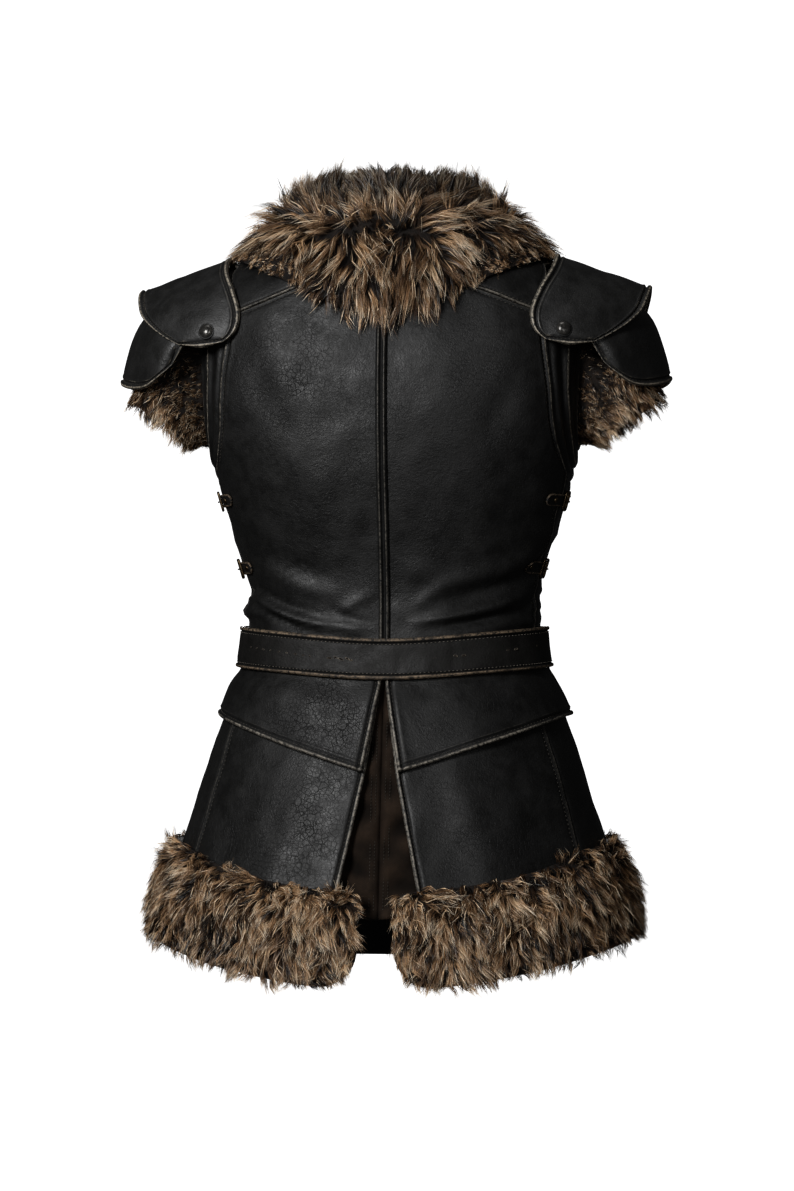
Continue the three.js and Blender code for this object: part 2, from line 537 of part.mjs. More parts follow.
// ---------------------------------------------------------------- belt
// one strap: from the buckle at the centre front all round, then over its own start
const BELT_START = -93, BELT_OVER = 42;      // degrees
const beltLift = (t) => 4.3 * smooth(352, 364, t);
function beltPoint(t, w, off) {
  const phi = BELT_START + t;
  let p = ((phi + 180) % 360 + 360) % 360 - 180;
  const z = beltTop(p) - BELT_WIDTH * w;
  return outZ(p, z, BELT_OFF + beltLift(t) + off);
}
function toManifold(wasm, g) {
  const m = mergeVertices(g, 1e-4);
  return new wasm.Manifold(new wasm.Mesh({
    numProp: 3, vertProperties: new Float32Array(m.attributes.position.array), triVerts: new Uint32Array(m.index.array),
  }));
}
function fromManifold(m) {
  const q = m.getMesh();
  return finish(Array.from(q.vertProperties), Array.from(q.triVerts));
}
const wasm = await Module();
wasm.setup();
{
  const total = 360 + BELT_OVER;
  const strap = slab(
    (u, v) => beltPoint(u * total, v, BELT_WALL),
    (u, v) => beltPoint(u * total, v, 0), 64, 1);
  // the hole that the prong goes through
  const a = beltPoint(361, 0.5, 0), b = beltPoint(361, 0.5, 1);
  const nrm = new THREE.Vector3(b[0] - a[0], b[1] - a[1], b[2] - a[2]).normalize();
  const hole = new THREE.BoxGeometry(11, 7, 22);
  hole.applyQuaternion(new THREE.Quaternion().setFromUnitVectors(new THREE.Vector3(0, 0, 1), nrm));
  hole.translate(a[0], a[1], a[2]);
  const cut = toManifold(wasm, strap).subtract(toManifold(wasm, clean(hole)));
  const parts = cut.decompose();
  parts.sort((p, q) => q.volume() - p.volume());
  add('belt_strap', fromManifold(parts[0]), BELT);
}
// keeper loop round both layers of the belt
{
  const t0 = 17, span = 4.2;
  const ring = (u, inset) => {            // round the belt's section
    const lo = inset ? 0.6 : 1.9, w0 = inset ? 0.6 : 1.9;
    const c = [[-w0, -lo], [BELT_WIDTH + w0, -lo], [BELT_WIDTH + w0, 2 * BELT_WALL + 0.9 + lo], [-w0, 2 * BELT_WALL + 0.9 + lo]];
    const k = u * 4, i = Math.floor(k) % 4, f = k - Math.floor(k), a = c[i], b = c[(i + 1) % 4];
    return [lerp(a[0], b[0], f), lerp(a[1], b[1], f)];
  };
  const at = (u, v, inset) => {
    const [dz, off] = ring(u, inset), p = BELT_START + t0 + v * span;
    return outZ(p, beltTop(p) - dz, BELT_OFF + off);
  };
  add('belt_keeper', slab((u, v) => at(u, v, false), (u, v) => at(u, v, true), 8, 2, true), BELT);
}
// rectangular frame round a bar, cut from an extruded outline, laid on a frame of axes
function frameShape(w, h, bar, r) {
  const s = new THREE.Shape();
  const rr = (p, W, H, R) => {
    p.moveTo(-W / 2 + R, -H / 2); p.lineTo(W / 2 - R, -H / 2); p.quadraticCurveTo(W / 2, -H / 2, W / 2, -H / 2 + R);
    p.lineTo(W / 2, H / 2 - R); p.quadraticCurveTo(W / 2, H / 2, W / 2 - R, H / 2);
    p.lineTo(-W / 2 + R, H / 2); p.quadraticCurveTo(-W / 2, H / 2, -W / 2, H / 2 - R);
    p.lineTo(-W / 2, -H / 2 + R); p.quadraticCurveTo(-W / 2, -H / 2, -W / 2 + R, -H / 2);
    return p;
  };
  rr(s, w, h, r);
  const hole = rr(new THREE.Path(), w - 2 * bar, h - 2 * bar, Math.max(r - bar, 0.6));
  s.holes.push(hole);
  return s;
}
function laid(g, origin, ex, ez) {
  // x along ex, z along ez (out of the garment), y completes them
  const X = ex.clone().normalize(), Z = ez.clone().sub(X.clone().multiplyScalar(ez.dot(X))).normalize();
  const Y = Z.clone().cross(X);
  g.applyMatrix4(new THREE.Matrix4().makeBasis(X, Y, Z).setPosition(...origin));
  return clean(g);
}
// belt buckle: frame outside the strap, its pivot bar behind the strap's end
{
  const P = beltPoint(355.5, 0.5, 0), Q = beltPoint(355.5, 0.5, 1);
  const nrm = new THREE.Vector3(Q[0] - P[0], Q[1] - P[1], Q[2] - P[2]).normalize();
  const along = new THREE.Vector3(1, 0, 0);
  const frame = new THREE.ExtrudeGeometry(frameShape(40, 60, 5, 5), { depth: 3.6, bevelEnabled: false, curveSegments: 4 });
  const o = beltPoint(357, 0.5, 8.6);
  add('belt_buckle', laid(frame, o, along, nrm), BRONZE);
  const prong = new THREE.ExtrudeGeometry(
    new THREE.Shape([new THREE.Vector2(-20, -1.8), new THREE.Vector2(13, -2.2), new THREE.Vector2(13, 2.2), new THREE.Vector2(-20, 1.8)]),
    { depth: 2.6, bevelEnabled: false });
  const o2 = beltPoint(357, 0.5, 12.6);
  add('belt_prong', laid(prong, o2, along, nrm), BRONZE);
}

// ---------------------------------------------------------------- side straps
// two on each side, riveted to the back panel and buckled on the side panel
const STRAPS = [
  // name  height  phi at the rivet  phi at the front end
  ['upper', -271, 22, -24],
  ['lower', -341, 21, -24],
];
for (const [name, z, p0, p1] of STRAPS) {
  const half = 6.2, wall = 2;
  const at = (u, v, o) => outZ(lerp(p0, p1, u), z + half - 2 * half * v, o);
  pair(`side_strap_${name}`, slab((u, v) => at(u, v, 0.8 + wall), (u, v) => at(u, v, 0.8), 8, 1), LEATHER);
  const pb = 9, P = outZ(pb, z, wall + 1.5), s = sOfZ(z), nrm = normal(pb, s);
  const A = outZ(pb + 2, z, 0), B = outZ(pb - 2, z, 0);
  const ex = new THREE.Vector3(B[0] - A[0], B[1] - A[1], B[2] - A[2]);
  const frame = new THREE.ExtrudeGeometry(frameShape(17, 22, 2.6, 2.4), { depth: 2.6, bevelEnabled: false, curveSegments: 3 });
  pair(`side_buckle_${name}`, laid(frame, P, ex, nrm), BRONZE);
  const prong = new THREE.ExtrudeGeometry(
    new THREE.Shape([new THREE.Vector2(-7, -1), new THREE.Vector2(8.4, -0.9), new THREE.Vector2(8.4, 0.9), new THREE.Vector2(-7, 1)]),
    { depth: 1.4, bevelEnabled: false });
  pair(`side_prong_${name}`, laid(prong, outZ(pb, z, wall + 4.5), ex, nrm), BRONZE);
  pair(`side_rivet_${name}`, discAt(outZ(17.5, z, wall + 1.2), normal(17.5, s), 3.2, 1.8), BRONZE);
}

export default vest;
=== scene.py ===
# Viking vest: the looks of a worn leather jerkin with fur collar, cap sleeves and hem.
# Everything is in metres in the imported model's frame; tables below are in millimetres.
import math
import bpy
import numpy as np
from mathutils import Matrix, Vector


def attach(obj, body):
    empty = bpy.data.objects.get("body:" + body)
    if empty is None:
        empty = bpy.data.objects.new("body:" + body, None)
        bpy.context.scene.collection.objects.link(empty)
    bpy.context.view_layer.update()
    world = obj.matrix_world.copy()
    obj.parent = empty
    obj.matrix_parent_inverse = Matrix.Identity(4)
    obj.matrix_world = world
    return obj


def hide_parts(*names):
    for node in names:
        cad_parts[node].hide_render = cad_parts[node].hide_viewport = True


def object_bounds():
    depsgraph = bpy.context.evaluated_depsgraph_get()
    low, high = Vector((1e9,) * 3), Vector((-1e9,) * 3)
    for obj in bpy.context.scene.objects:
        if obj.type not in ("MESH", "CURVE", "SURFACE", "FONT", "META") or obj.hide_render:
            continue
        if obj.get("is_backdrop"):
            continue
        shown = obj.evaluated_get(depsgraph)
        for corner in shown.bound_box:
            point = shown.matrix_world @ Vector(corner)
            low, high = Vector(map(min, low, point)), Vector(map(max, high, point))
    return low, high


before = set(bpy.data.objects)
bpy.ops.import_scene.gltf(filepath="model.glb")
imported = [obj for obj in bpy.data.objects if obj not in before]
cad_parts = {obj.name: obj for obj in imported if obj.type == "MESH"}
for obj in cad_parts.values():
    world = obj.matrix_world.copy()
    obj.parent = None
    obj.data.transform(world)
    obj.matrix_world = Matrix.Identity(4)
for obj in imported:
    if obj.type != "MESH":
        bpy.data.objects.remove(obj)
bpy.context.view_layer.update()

MM = 0.001
D2R = math.pi / 180

# ------------------------------------------------------------------ sizes, as in the CAD
WALL = 2.2
GAP = 0.3
CAP_WALL = 2.6
BELT_WIDTH = 44
BELT_WALL = 3.4
BELT_OFF = 5.8
BELT_TOP = -402
BELT_DIP_BACK = 12.5
BELT_DIP_FRONT = 4
WAIST_SEAM = -427.5
STRIP_WIDTH = 8.6
BAND_WIDTH = 34
HEM_BACK = -726
HEM_FRONT = -766
LINER_HEM = -691
FLAP_SIDE, FLAP_CENTRE = -497.0, -549.5
SKIRT_SEAM_PHI = 22

TORSO = np.array([
    [6, 80, 50, 46, 2.0], [-8, 124, 74, 68, 2.1], [-22, 163, 92, 86, 2.2], [-45, 186, 108, 102, 2.5],
    [-80, 197, 119, 115, 2.8], [-120, 200, 127, 122, 2.9], [-170, 198, 130, 127, 2.8],
    [-222, 191.6, 127, 126, 2.65], [-270, 179.5, 119, 121, 2.5], [-322, 163.7, 107, 113, 2.4],
    [-364, 152.6, 99, 106, 2.3], [-385, 156, 98, 105, 2.3], [-402, 152.8, 98, 104.5, 2.3],
    [-430, 155.5, 100, 106, 2.3], [-448, 158.4, 103, 108, 2.3], [-460, 164.5, 107, 112, 2.3],
    [-480, 173, 115, 119, 2.25], [-511, 184.3, 125, 128, 2.2], [-549, 196, 136, 138, 2.2],
    [-585, 207.3, 146, 147, 2.2], [-617, 218, 154, 155, 2.15], [-660, 231, 165, 165, 2.15],
    [-710, 246, 176, 174, 2.1], [-775, 264, 190, 187, 2.1]], float)
ARMHOLE = np.array([
    [0, -41, 0, -25], [7, -50, 15, -31], [11.5, -80, 26, -58], [13.5, -125, 29.5, -105],
    [13, -168, 28, -156], [10, -198, 24, -208], [5, -211, 14, -243], [0, -214, 0, -256]], float)
YOKE_BACK = np.array([[30, -81], [41, -66], [52, -51], [70, -33], [90, -21]], float)
YOKE_FRONT = np.array([[30, -81], [41, -66], [52, -55], [61, -46]], float)
NECK = np.array([[0, -8], [45, -1], [90, 6], [120, 0], [150, -28], [165, -62], [180, -98]], float)
SIDE_SEAM = np.array([[-243, 14], [-262, 12], [-322, 11], [-430, 11]], float)
CAP_UPPER = np.array([
    [169, 0, -14, 270, 0, -50, 0.5], [170, 30, -20, 269, 17, -55, 2], [167, 62, -35, 266, 35, -65, 4],
    [157, 87, -56, 260, 52, -79, 6], [149, 99, -80, 246, 68, -93, 7], [153, 104, -100, 228, 82, -105, 6],
    [170, 102, -114, 208, 93, -115, 3]], float)
CAP_LOWER = np.array([
    [206, 0, -40, 290, 0, -146, 25], [205, 26, -44, 284, 25, -151, 23], [203, 50, -55, 270, 48, -155, 19],
    [200, 68, -70, 252, 66, -154, 13], [199, 79, -86, 236, 76, -143, 8], [201, 81, -101, 219, 78, -127, 3]], float)
COLLAR = np.array([
    [0, 80, 66, 102, 68, 128, 48, 147, 8, 150, -46, 4.30],
    [20, 80, 65, 102, 67, 128, 47, 148, 8, 151, -42, 3.95],
    [45, 82, 62, 106, 63, 134, 43, 155, 5, 157, -32, 3.15],
    [70, 84, 59, 110, 59, 140, 39, 160, 8, 164, -10, 2.30],
    [90, 86, 56, 110, 56, 138, 38, 156, 13, 163, -2, 1.85],
    [110, 86, 50, 108, 49, 134, 30, 151, 3, 158, -14, 2.20],
    [135, 88, 36, 108, 34, 128, 14, 143, -18, 148, -48, 3.60],
    [158, 104, -22, 122, -24, 138, -46, 146, -80, 146, -112, 5.10],
    [180, 122, -86, 134, -86, 146, -104, 150, -134, 147, -160, 6.00]], float)
HEM_FUR = np.array([
    [6, -667, -757, 25], [20, -666, -760, 28], [45, -654, -748, 29], [70, -632, -730, 28], [90, -627, -722, 27],
    [110, -632, -728, 28], [135, -650, -742, 28], [160, -662, -756, 27], [174, -665, -760, 25]], float)
VENT_FLAP = np.array([[-430, 1.2], [-462, 2.2], [-549.5, 18]], float)
VENT_SKIRT = np.array([[-430, 1.2], [-470, 3.5], [-551, 15.5], [-667, 40], [-730, 50]], float)
SLEEVE = dict(cx=241, cz=-187, ax=39, az=24, by=56, wall=11)


# ------------------------------------------------------------------ numbers
def smooth(a, b, x):
    t = np.clip((np.asarray(x, float) - a) / (b - a), 0, 1)
    return t * t * (3 - 2 * t)


def lerp(a, b, t):
    return a + (b - a) * t


def cat(T, s):
    """Smooth rows of a table at fractional indices."""
    s = np.asarray(s, float)
    n = len(T) - 1
    G = np.vstack([2 * T[0] - T[1], T, 2 * T[-1] - T[-2]])
    i = np.clip(np.floor(s).astype(int), 0, n - 1)
    f = (s - i)[..., None]
    p0, p1, p2, p3 = G[i], G[i + 1], G[i + 2], G[i + 3]
    return 0.5 * (2 * p1 + (p2 - p0) * f + (2 * p0 - 5 * p1 + 4 * p2 - p3) * f * f + (-p0 + 3 * p1 - 3 * p2 + p3) * f ** 3)


def read(T, x, i=0, j=1):
    """Straight-line reading of column j against column i."""
    a, b = T[:, i], T[:, j]
    return np.interp(x, a, b) if a[0] < a[-1] else np.interp(-np.asarray(x, float), -a, b)


def at_first(T, x):
    """Smooth row of a table where its first column is x."""
    s = np.linspace(0, len(T) - 1, 2001)
    col = cat(T, s)[:, 0]
    return cat(T, np.interp(x, col, s))


_S = np.linspace(0, len(TORSO) - 1, 6901)
_TV = cat(TORSO, _S)


def s_of_z(z):
    return np.interp(-np.asarray(z, float), -_TV[:, 0], _S)


def z_of_s(s):
    return np.interp(s, _S, _TV[:, 0])


def face(phi, s):
    phi, s = np.broadcast_arrays(np.asarray(phi, float), np.asarray(s, float))
    z, a, b, f, n = (np.interp(s, _S, _TV[:, k]) for k in range(5))
    c, q = np.cos(phi * D2R), np.sin(phi * D2R)
    d = np.where(q > 0, b, f)
    r = ((np.abs(c) / a) ** n + (np.abs(q) / d) ** n) ** (-1 / n)
    return np.stack([r * c, r * q, z], -1)


def unit(v):
    return v / np.maximum(np.linalg.norm(v, axis=-1, keepdims=True), 1e-12)


def normal(phi, s):
    h, k = 0.4, 0.02
    A = face(phi, s + k) - face(phi, s - k)
    B = face(phi + h, s) - face(phi - h, s)
    return unit(np.cross(A, B))


# soft folds of the worn leather: phi0, z0, phi1, z1, half width, height (- is a trough), bend
FOLDS = [
    # drag lines above the belt, back left: a pinch at the side, a roll below it, and the pull towards the middle
    (-8, -366, 22, -366, 4.5, -3.0, 1), (-14, -385, 24, -388, 6.5, 3.4, 1), (18, -367, 54, -402, 3.6, 3.6, 4),
    (20, -360, 46, -385, 4.2, -2.8, 4), (22, -381, 54, -410, 3.8, -2.8, 3), (44, -392, 76, -406, 4.5, 2.0, 2),
    (30, -344, 58, -368, 9.0, 2.2, 5), (34, -330, 60, -346, 8.0, -1.6, 4), (60, -384, 80, -398, 3.6, -1.2, 2),
    # back right
    (168, -316, 134, -352, 8.0, 2.6, -7), (134, -352, 112, -376, 7.0, 2.2, 4), (166, -334, 128, -372, 6.5, -2.4, -6),
    (164, -366, 108, -398, 5.5, 2.8, -5), (162, -380, 116, -404, 5.0, -2.4, -4), (170, -296, 142, -318, 8.0, 1.8, -5),
    (168, -282, 138, -296, 7.0, -1.6, -4), (165, -398, 104, -409, 4.5, 1.8, -2),
    # pulls from the armholes
    (34, -150, 58, -250, 11, 1.6, 4), (38, -120, 52, -210, 9, -1.8, 4), (46, -110, 60, -190, 8, 1.2, 5),
    (146, -150, 128, -250, 11, 1.5, -4), (142, -125, 130, -215, 9, -1.6, -4), (30, -240, 44, -300, 8, -1.6, 5),
    (152, -236, 138, -290, 8, -1.5, -5),
    # along the centre seam
    (84, -290, 66, -306, 5, 0.9, 2), (96, -250, 112, -262, 5, 0.9, 2), (85, -200, 70, -208, 5, 0.8, 1),
    (95, -332, 116, -350, 5, 1.1, 2), (84, -368, 66, -386, 5, 1.2, 2), (86, -150, 74, -154, 5, 0.7, 1),
    # yokes
    (40, -58, 60, -40, 7, -1.0, 2), (140, -58, 122, -42, 7, -1.0, 2),
    # sides
    (-22, -356, 24, -372, 6, 2.6, 4), (-26, -382, 22, -392, 5, -2.2, 3), (158, -350, 204, -366, 6, 2.4, 4),
    (156, -388, 206, -380, 5, -2.2, 3), (-20, -300, 18, -312, 8, 1.6, 4), (162, -306, 200, -296, 8, 1.6, 4),
    # front
    (-12, -366, -60, -394, 6.5, 3.2, 6), (-16, -384, -66, -404, 5.0, -2.6, 4), (-22, -340, -52, -368, 7.0, -2.0, 5),
    (-168, -360, -122, -392, 6.5, 3.0, 5), (-166, -378, -118, -402, 5.0, -2.6, 4), (-34, -150, -58, -250, 11, 1.5, 4),
    (-146, -150, -126, -248, 11, 1.5, -4), (-40, -125, -52, -215, 9, -1.6, 4), (-140, -130, -128, -218, 9, -1.6, -4),
    (-84, -300, -64, -318, 6, 1.2, 3), (-96, -330, -118, -352, 6, 1.4, 3),
    # lower tier of the skirt: long soft waves that open towards the hem
    (60, -540, 52, -700, 16, 2.2, 3), (40, -560, 34, -700, 13, -2.0, 3), (120, -540, 128, -700, 16, 2.2, -3),
    (142, -560, 148, -700, 13, -2.0, -3), (4, -540, 2, -690, 16, 2.0, 2), (176, -550, 178, -690, 15, 2.0, 2),
    (-40, -540, -36, -710, 16, 2.2, 3), (-62, -560, -64, -720, 14, -2.0, 3), (-140, -540, -144, -710, 16, 2.2, 3),
    (-118, -560, -116, -720, 14, -2.0, 3), (48, -590, 62, -640, 7, -1.2, 4), (130, -600, 112, -650, 8, -1.3, 4),
    (72, -600, 66, -660, 7, 1.0, 3), (108, -570, 100, -650, 7, 1.0, 3),
]
FOLDS = np.array(FOLDS, float)
_low = (FOLDS[:, 1] < -300) & (FOLDS[:, 1] > -420)
_back = (np.minimum(FOLDS[:, 0], FOLDS[:, 2]) > -15) & (np.maximum(FOLDS[:, 0], FOLDS[:, 2]) < 171)
FOLDS[_low & _back, 5] *= 1.9
FOLDS[_low & ~_back, 5] *= 1.45
_rw = np.random.default_rng(11)
WAVES = [(_rw.uniform(0.6, 1.0), _rw.normal(size=3) / l, _rw.uniform(0, 6.28), a)
         for l, a in [(58, .42), (44, .34), (33, .26), (25, .18), (70, .5), (19, .12)] for _ in range(2)]


def disp(phi, z, p):
    """Height in mm that the worn leather stands proud of the plain form."""
    phi = (np.asarray(phi, float) + 90) % 360 - 90
    phi, z = np.broadcast_arrays(phi, np.asarray(z, float))
    R = 2.7                                                     # mm a degree, about
    h = np.zeros(phi.shape)
    for p0, z0, p1, z1, w, amp, bend in FOLDS:
        dphi = (phi - p0 + 180) % 360 - 180
        dp = (p1 - p0) * R
        ax, az = dphi * R, z - z0
        L = math.hypot(dp, z1 - z0)
        t = (ax * dp + az * (z1 - z0)) / L ** 2
        tc = np.clip(t, 0, 1)
        across = (ax * (z1 - z0) - az * dp) / L - bend * 4 * tc * (1 - tc)
        past = (t - tc) * L
        taper = 0.35 + 0.65 * np.sin(np.pi * np.clip(tc * 0.86 + 0.1, 0, 1))
        h += amp * taper * np.exp(-(across / w) ** 2 - (past / (1.6 * w)) ** 2)
    for k, f, ph, a in WAVES:
        h += a * np.sin(p @ f * 3.1 + ph) * k
    return h


def quiet(phi, z):
    """Where folds fade: under the belt and the collar."""
    under_belt = smooth(0, 9, z - belt_top(phi)) + smooth(0, 14, belt_bot(phi) - z)
    return np.clip(under_belt, 0, 1) * smooth(-4, -50, z)


def belt_top(phi):
    q = np.sin(np.asarray(phi, float) * D2R)
    return BELT_TOP - np.where(q > 0, BELT_DIP_BACK, BELT_DIP_FRONT) * np.abs(q) ** 1.6


def belt_bot(phi):
    return belt_top(phi) - BELT_WIDTH


def out(phi, s, off=0.0, worn=1.0):
    p, n = face(phi, s), normal(phi, s)
    h = disp(phi, p[..., 2], p) * quiet(phi, p[..., 2]) * worn if worn else 0.0
    return p + n * np.asarray(off + h)[..., None]


def out_z(phi, z, off=0.0, worn=1.0):
    return out(phi, s_of_z(z), off, worn)


def phi_at_x(x, s, front=False):
    x, s = np.broadcast_arrays(np.asarray(x, float), np.asarray(s, float))
    lo, hi = np.zeros(x.shape), np.full(x.shape, 90.0)
    for _ in range(34):
        m = (lo + hi) / 2
        big = face(-m if front else m, s)[..., 0] > x
        lo, hi = np.where(big, m, lo), np.where(big, hi, m)
    return (-1 if front else 1) * (lo + hi) / 2


# ------------------------------------------------------------------ meshes
def build(name, verts, quads=None, tris=None, smooth_faces=True, attrs=None, colour=None, mats=()):
    me = bpy.data.meshes.new(name)
    verts = np.ascontiguousarray(verts, np.float32) * MM
    q = np.zeros((0, 4), int) if quads is None else np.asarray(quads)
    t = np.zeros((0, 3), int) if tris is None else np.asarray(tris)
    loops = np.concatenate([q.ravel(), t.ravel()]).astype(np.int32)
    starts = np.concatenate([np.arange(len(q)) * 4, len(q) * 4 + np.arange(len(t)) * 3]).astype(np.int32)
    me.vertices.add(len(verts))
    me.vertices.foreach_set("co", verts.ravel())
    me.loops.add(len(loops))
    me.loops.foreach_set("vertex_index", loops)
    me.polygons.add(len(starts))
    me.polygons.foreach_set("loop_start", starts)
    me.update(calc_edges=True)
    me.polygons.foreach_set("use_smooth", np.full(len(starts), smooth_faces))
    for k, v in (attrs or {}).items():
        a = me.attributes.new(k, "FLOAT", "POINT")
        a.data.foreach_set("value", np.ascontiguousarray(v, np.float32).ravel())
    if colour is not None:
        a = me.color_attributes.new("Col", "FLOAT_COLOR", "POINT")
        a.data.foreach_set("color", np.ascontiguousarray(
            np.concatenate([colour, np.ones((len(colour), 1))], 1), np.float32).ravel())
    me.validate()
    ob = bpy.data.objects.new(name, me)
    bpy.context.scene.collection.objects.link(ob)
    for m in mats:
        me.materials.append(m)
    return ob


def volume(v, q):
    a, b, c, d = (v[q[:, k]] for k in range(4))
    f = lambda a, b, c: np.einsum("ij,ij->", a, np.cross(b, c))
    return f(a, b, c) + f(a, c, d)


def slab_faces(nu, nv, closed=False):
    """Quads of a wall from two grids of nu by nv points; closed joins the last column to the first."""
    N = nu * nv
    I, J = np.meshgrid(np.arange(nu if closed else nu - 1), np.arange(nv - 1), indexing="ij")
    I, J = I.ravel(), J.ravel()
    id_ = lambda i, j, k: (i % nu) * nv + j + k * N
    o = np.stack([id_(I, J, 0), id_(I + 1, J, 0), id_(I + 1, J + 1, 0), id_(I, J + 1, 0)], 1)
    n = np.stack([id_(I, J, 1), id_(I, J + 1, 1), id_(I + 1, J + 1, 1), id_(I + 1, J, 1)], 1)
    i = np.arange(nu if closed else nu - 1)
    j0, j1 = 0 * i, 0 * i + nv - 1
    e0 = np.stack([id_(i, j0, 0), id_(i, j0, 1), id_(i + 1, j0, 1), id_(i + 1, j0, 0)], 1)
    e1 = np.stack([id_(i, j1, 0), id_(i + 1, j1, 0), id_(i + 1, j1, 1), id_(i, j1, 1)], 1)
    parts = [o, n, e0, e1]
    if not closed:
        j = np.arange(nv - 1)
        a, b = 0 * j, 0 * j + nu - 1
        parts += [np.stack([id_(a, j, 0), id_(a, j + 1, 0), id_(a, j + 1, 1), id_(a, j, 1)], 1),
                  np.stack([id_(b, j, 0), id_(b, j, 1), id_(b, j + 1, 1), id_(b, j + 1, 0)], 1)]
    return np.concatenate(parts)


def slab(name, outer, inner, closed=False, attrs=None, mats=(), colour=None):
    nu, nv = outer.shape[:2]
    v = np.concatenate([outer.reshape(-1, 3), inner.reshape(-1, 3)])
    q = slab_faces(nu, nv, closed)
    if volume(v, q) < 0:
        q = q[:, ::-1]
    if attrs:
        attrs = dict(attrs, crack=crazed(outer))
    at = {k: np.concatenate([np.broadcast_to(x, (nu, nv)).ravel()] * 2) for k, x in (attrs or {}).items()}
    if colour is not None:
        colour = np.concatenate([colour.reshape(-1, 3)] * 2)
    return build(name, v, q, attrs=at, mats=mats, colour=colour)


def grid_normals(P):
    du, dv = np.gradient(P, axis=0), np.gradient(P, axis=1)
    return unit(np.cross(du, dv))


def edge_distances(P):
    """Distances from the four edges of a grid, along its lines: u=0, u=1, v=0, v=1."""
    lu = np.cumsum(np.linalg.norm(np.diff(P, axis=0), axis=-1), axis=0)
    lu = np.concatenate([np.zeros((1,) + lu.shape[1:]), lu])
    lv = np.cumsum(np.linalg.norm(np.diff(P, axis=1), axis=-1), axis=1)
    lv = np.concatenate([np.zeros((lv.shape[0], 1)), lv], 1)
    return lu, lu[-1:] - lu, lv, lv[:, -1:] - lv


NEAR = [0, .35, .9, 1.7, 2.7, 3.7, 4.5, 5.1, 5.7, 6.4, 7.4, 9.0, 11.5]
PLAIN = [0, .5, 1.5, 3.0, 5.0]


def spaced(length, lo, hi, step, more=()):
    """Parameters from 0 to 1, fine near each end that has a worked edge."""
    a = np.array(sorted((NEAR if lo else PLAIN) + list(more)))
    b = length - np.array(sorted((NEAR if hi else PLAIN) + list(more)))[::-1]
    n = max(int(round((b[0] - a[-1]) / step)), 1)
    return np.concatenate([a[:-1], np.linspace(a[-1], b[0], n + 1), b[1:]]) / length


def bead(d, w, h):
    """Section of a turned edge: a rounded bead, then a stitched groove."""
    k = np.clip(1 - ((d - w / 2) / (w / 2)) ** 2, 0, 1) ** 0.55
    groove = np.exp(-((d - w - 0.5) / 0.8) ** 2)
    return h * k - 0.75 * (0.6 + h * 0.5) * groove + 0.35 * smooth(w + 0.6, w + 5, d) * (1 - smooth(w + 6, w + 26, d))


def rubbed(d, w):
    """Where a turned edge is worn pale: its crest and its outer corner."""
    return np.clip(np.exp(-((d - w * 0.42) / (1.05 if w > 4 else 0.72)) ** 2) + 0.7 * np.exp(-(d / 0.6) ** 2), 0, 1)


def groove_shade(d, w):
    """The stitched groove beside a turned edge, where the colour is darkened as painted shade."""
    return np.exp(-((d - w - 0.6) / 0.85) ** 2)


SEAM = (3.2, 0.6)
RIM = (4.8, 1.55)

# where the finish is crazed most: x, z, back or front, half width, half height, how much
CRACKS = [(106, -140, 1, 66, 66, .44), (52, -250, 1, 40, 50, .30), (-112, -165, 1, 55, 60, .25), (-60, -300, 1, 45, 40, .25),
          (74, -490, 1, 52, 36, 1.0), (-140, -500, 1, 60, 38, .35), (110, -615, 1, 76, 60, .54), (-110, -610, 1, 70, 55, .35),
          (-100, -190, -1, 58, 60, .9), (112, -240, -1, 55, 60, .6), (-145, -505, -1, 60, 42, .9), (130, -600, -1, 70, 55, .6)]


def crazed(P):
    k = np.zeros(P.shape[:-1])
    for x, z, f, rx, rz, a in CRACKS:
        d = np.hypot((P[..., 0] - x) / rx, (P[..., 2] - z) / rz)
        k = np.maximum(k, a * (1 - smooth(0.5, 1.2, d)) * (P[..., 1] * f > 0))
    return k


def panel(name, node, left, right, top, bottom, size, edges, off=0.0, wall=WALL, side=1, mat=None, step=7.0,
          under=None, shape=None):
    """A wall of the garment between two side lines phi(z) and two end lines s(phi)."""
    us = spaced(size[0], edges[0], edges[1], step)
    vs = spaced(size[1], edges[2], edges[3], step)
    U, V = np.meshgrid(us, vs, indexing="ij")
    s = np.full(U.shape, 6.0)
    for _ in range(14):
        z = z_of_s(s)
        phi = lerp(left(z), right(z), U)
        s = lerp(top(phi), bottom(phi), V)
    ph = phi if side > 0 else 180 - phi
    o = off(phi, z_of_s(s)) if callable(off) else off
    base = out(ph, s, o)
    D = edge_distances(base)
    h = np.zeros(U.shape)
    wear = np.zeros(U.shape)
    recess_shade = np.zeros(U.shape)
    for d, e in zip(D, edges):
        if e:
            h += bead(d, *e)
            # painted shade in the stitched groove beside the turned edge
            recess_shade = np.maximum(recess_shade, groove_shade(d, e[0]) * (1.0 if e[0] > 4 else 0.7))
            wear = np.maximum(wear, rubbed(d, e[0]) * (1.0 if e[0] > 4 else 0.45))
            if e[0] > 4:                                        # a second, lower row inside the turned edge
                h += 0.8 * np.exp(-((d - 9.0) / 1.2) ** 2)
                wear = np.maximum(wear, 0.34 * np.exp(-((d - 9.0) / 0.9) ** 2))
    if shape is not None:
        h += shape(ph, z_of_s(s), D)
    n = grid_normals(base)
    if np.sum(n * normal(ph, s)) < 0:
        n = -n
    outer = base + n * h[..., None]
    inner = base - n * wall
    ob = slab(name, outer, inner, attrs={"wear": wear, "recess_shade": recess_shade}, mats=(mat,))
    if node:
        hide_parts(node)
    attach(ob, "root")
    return ob, base + n * h[..., None], n, D


# ------------------------------------------------------------------ materials
def nodes_of(name):
    m = bpy.data.materials.new(name)
    m.use_nodes = True
    nt = m.node_tree
    nt.nodes.clear()
    return m, nt


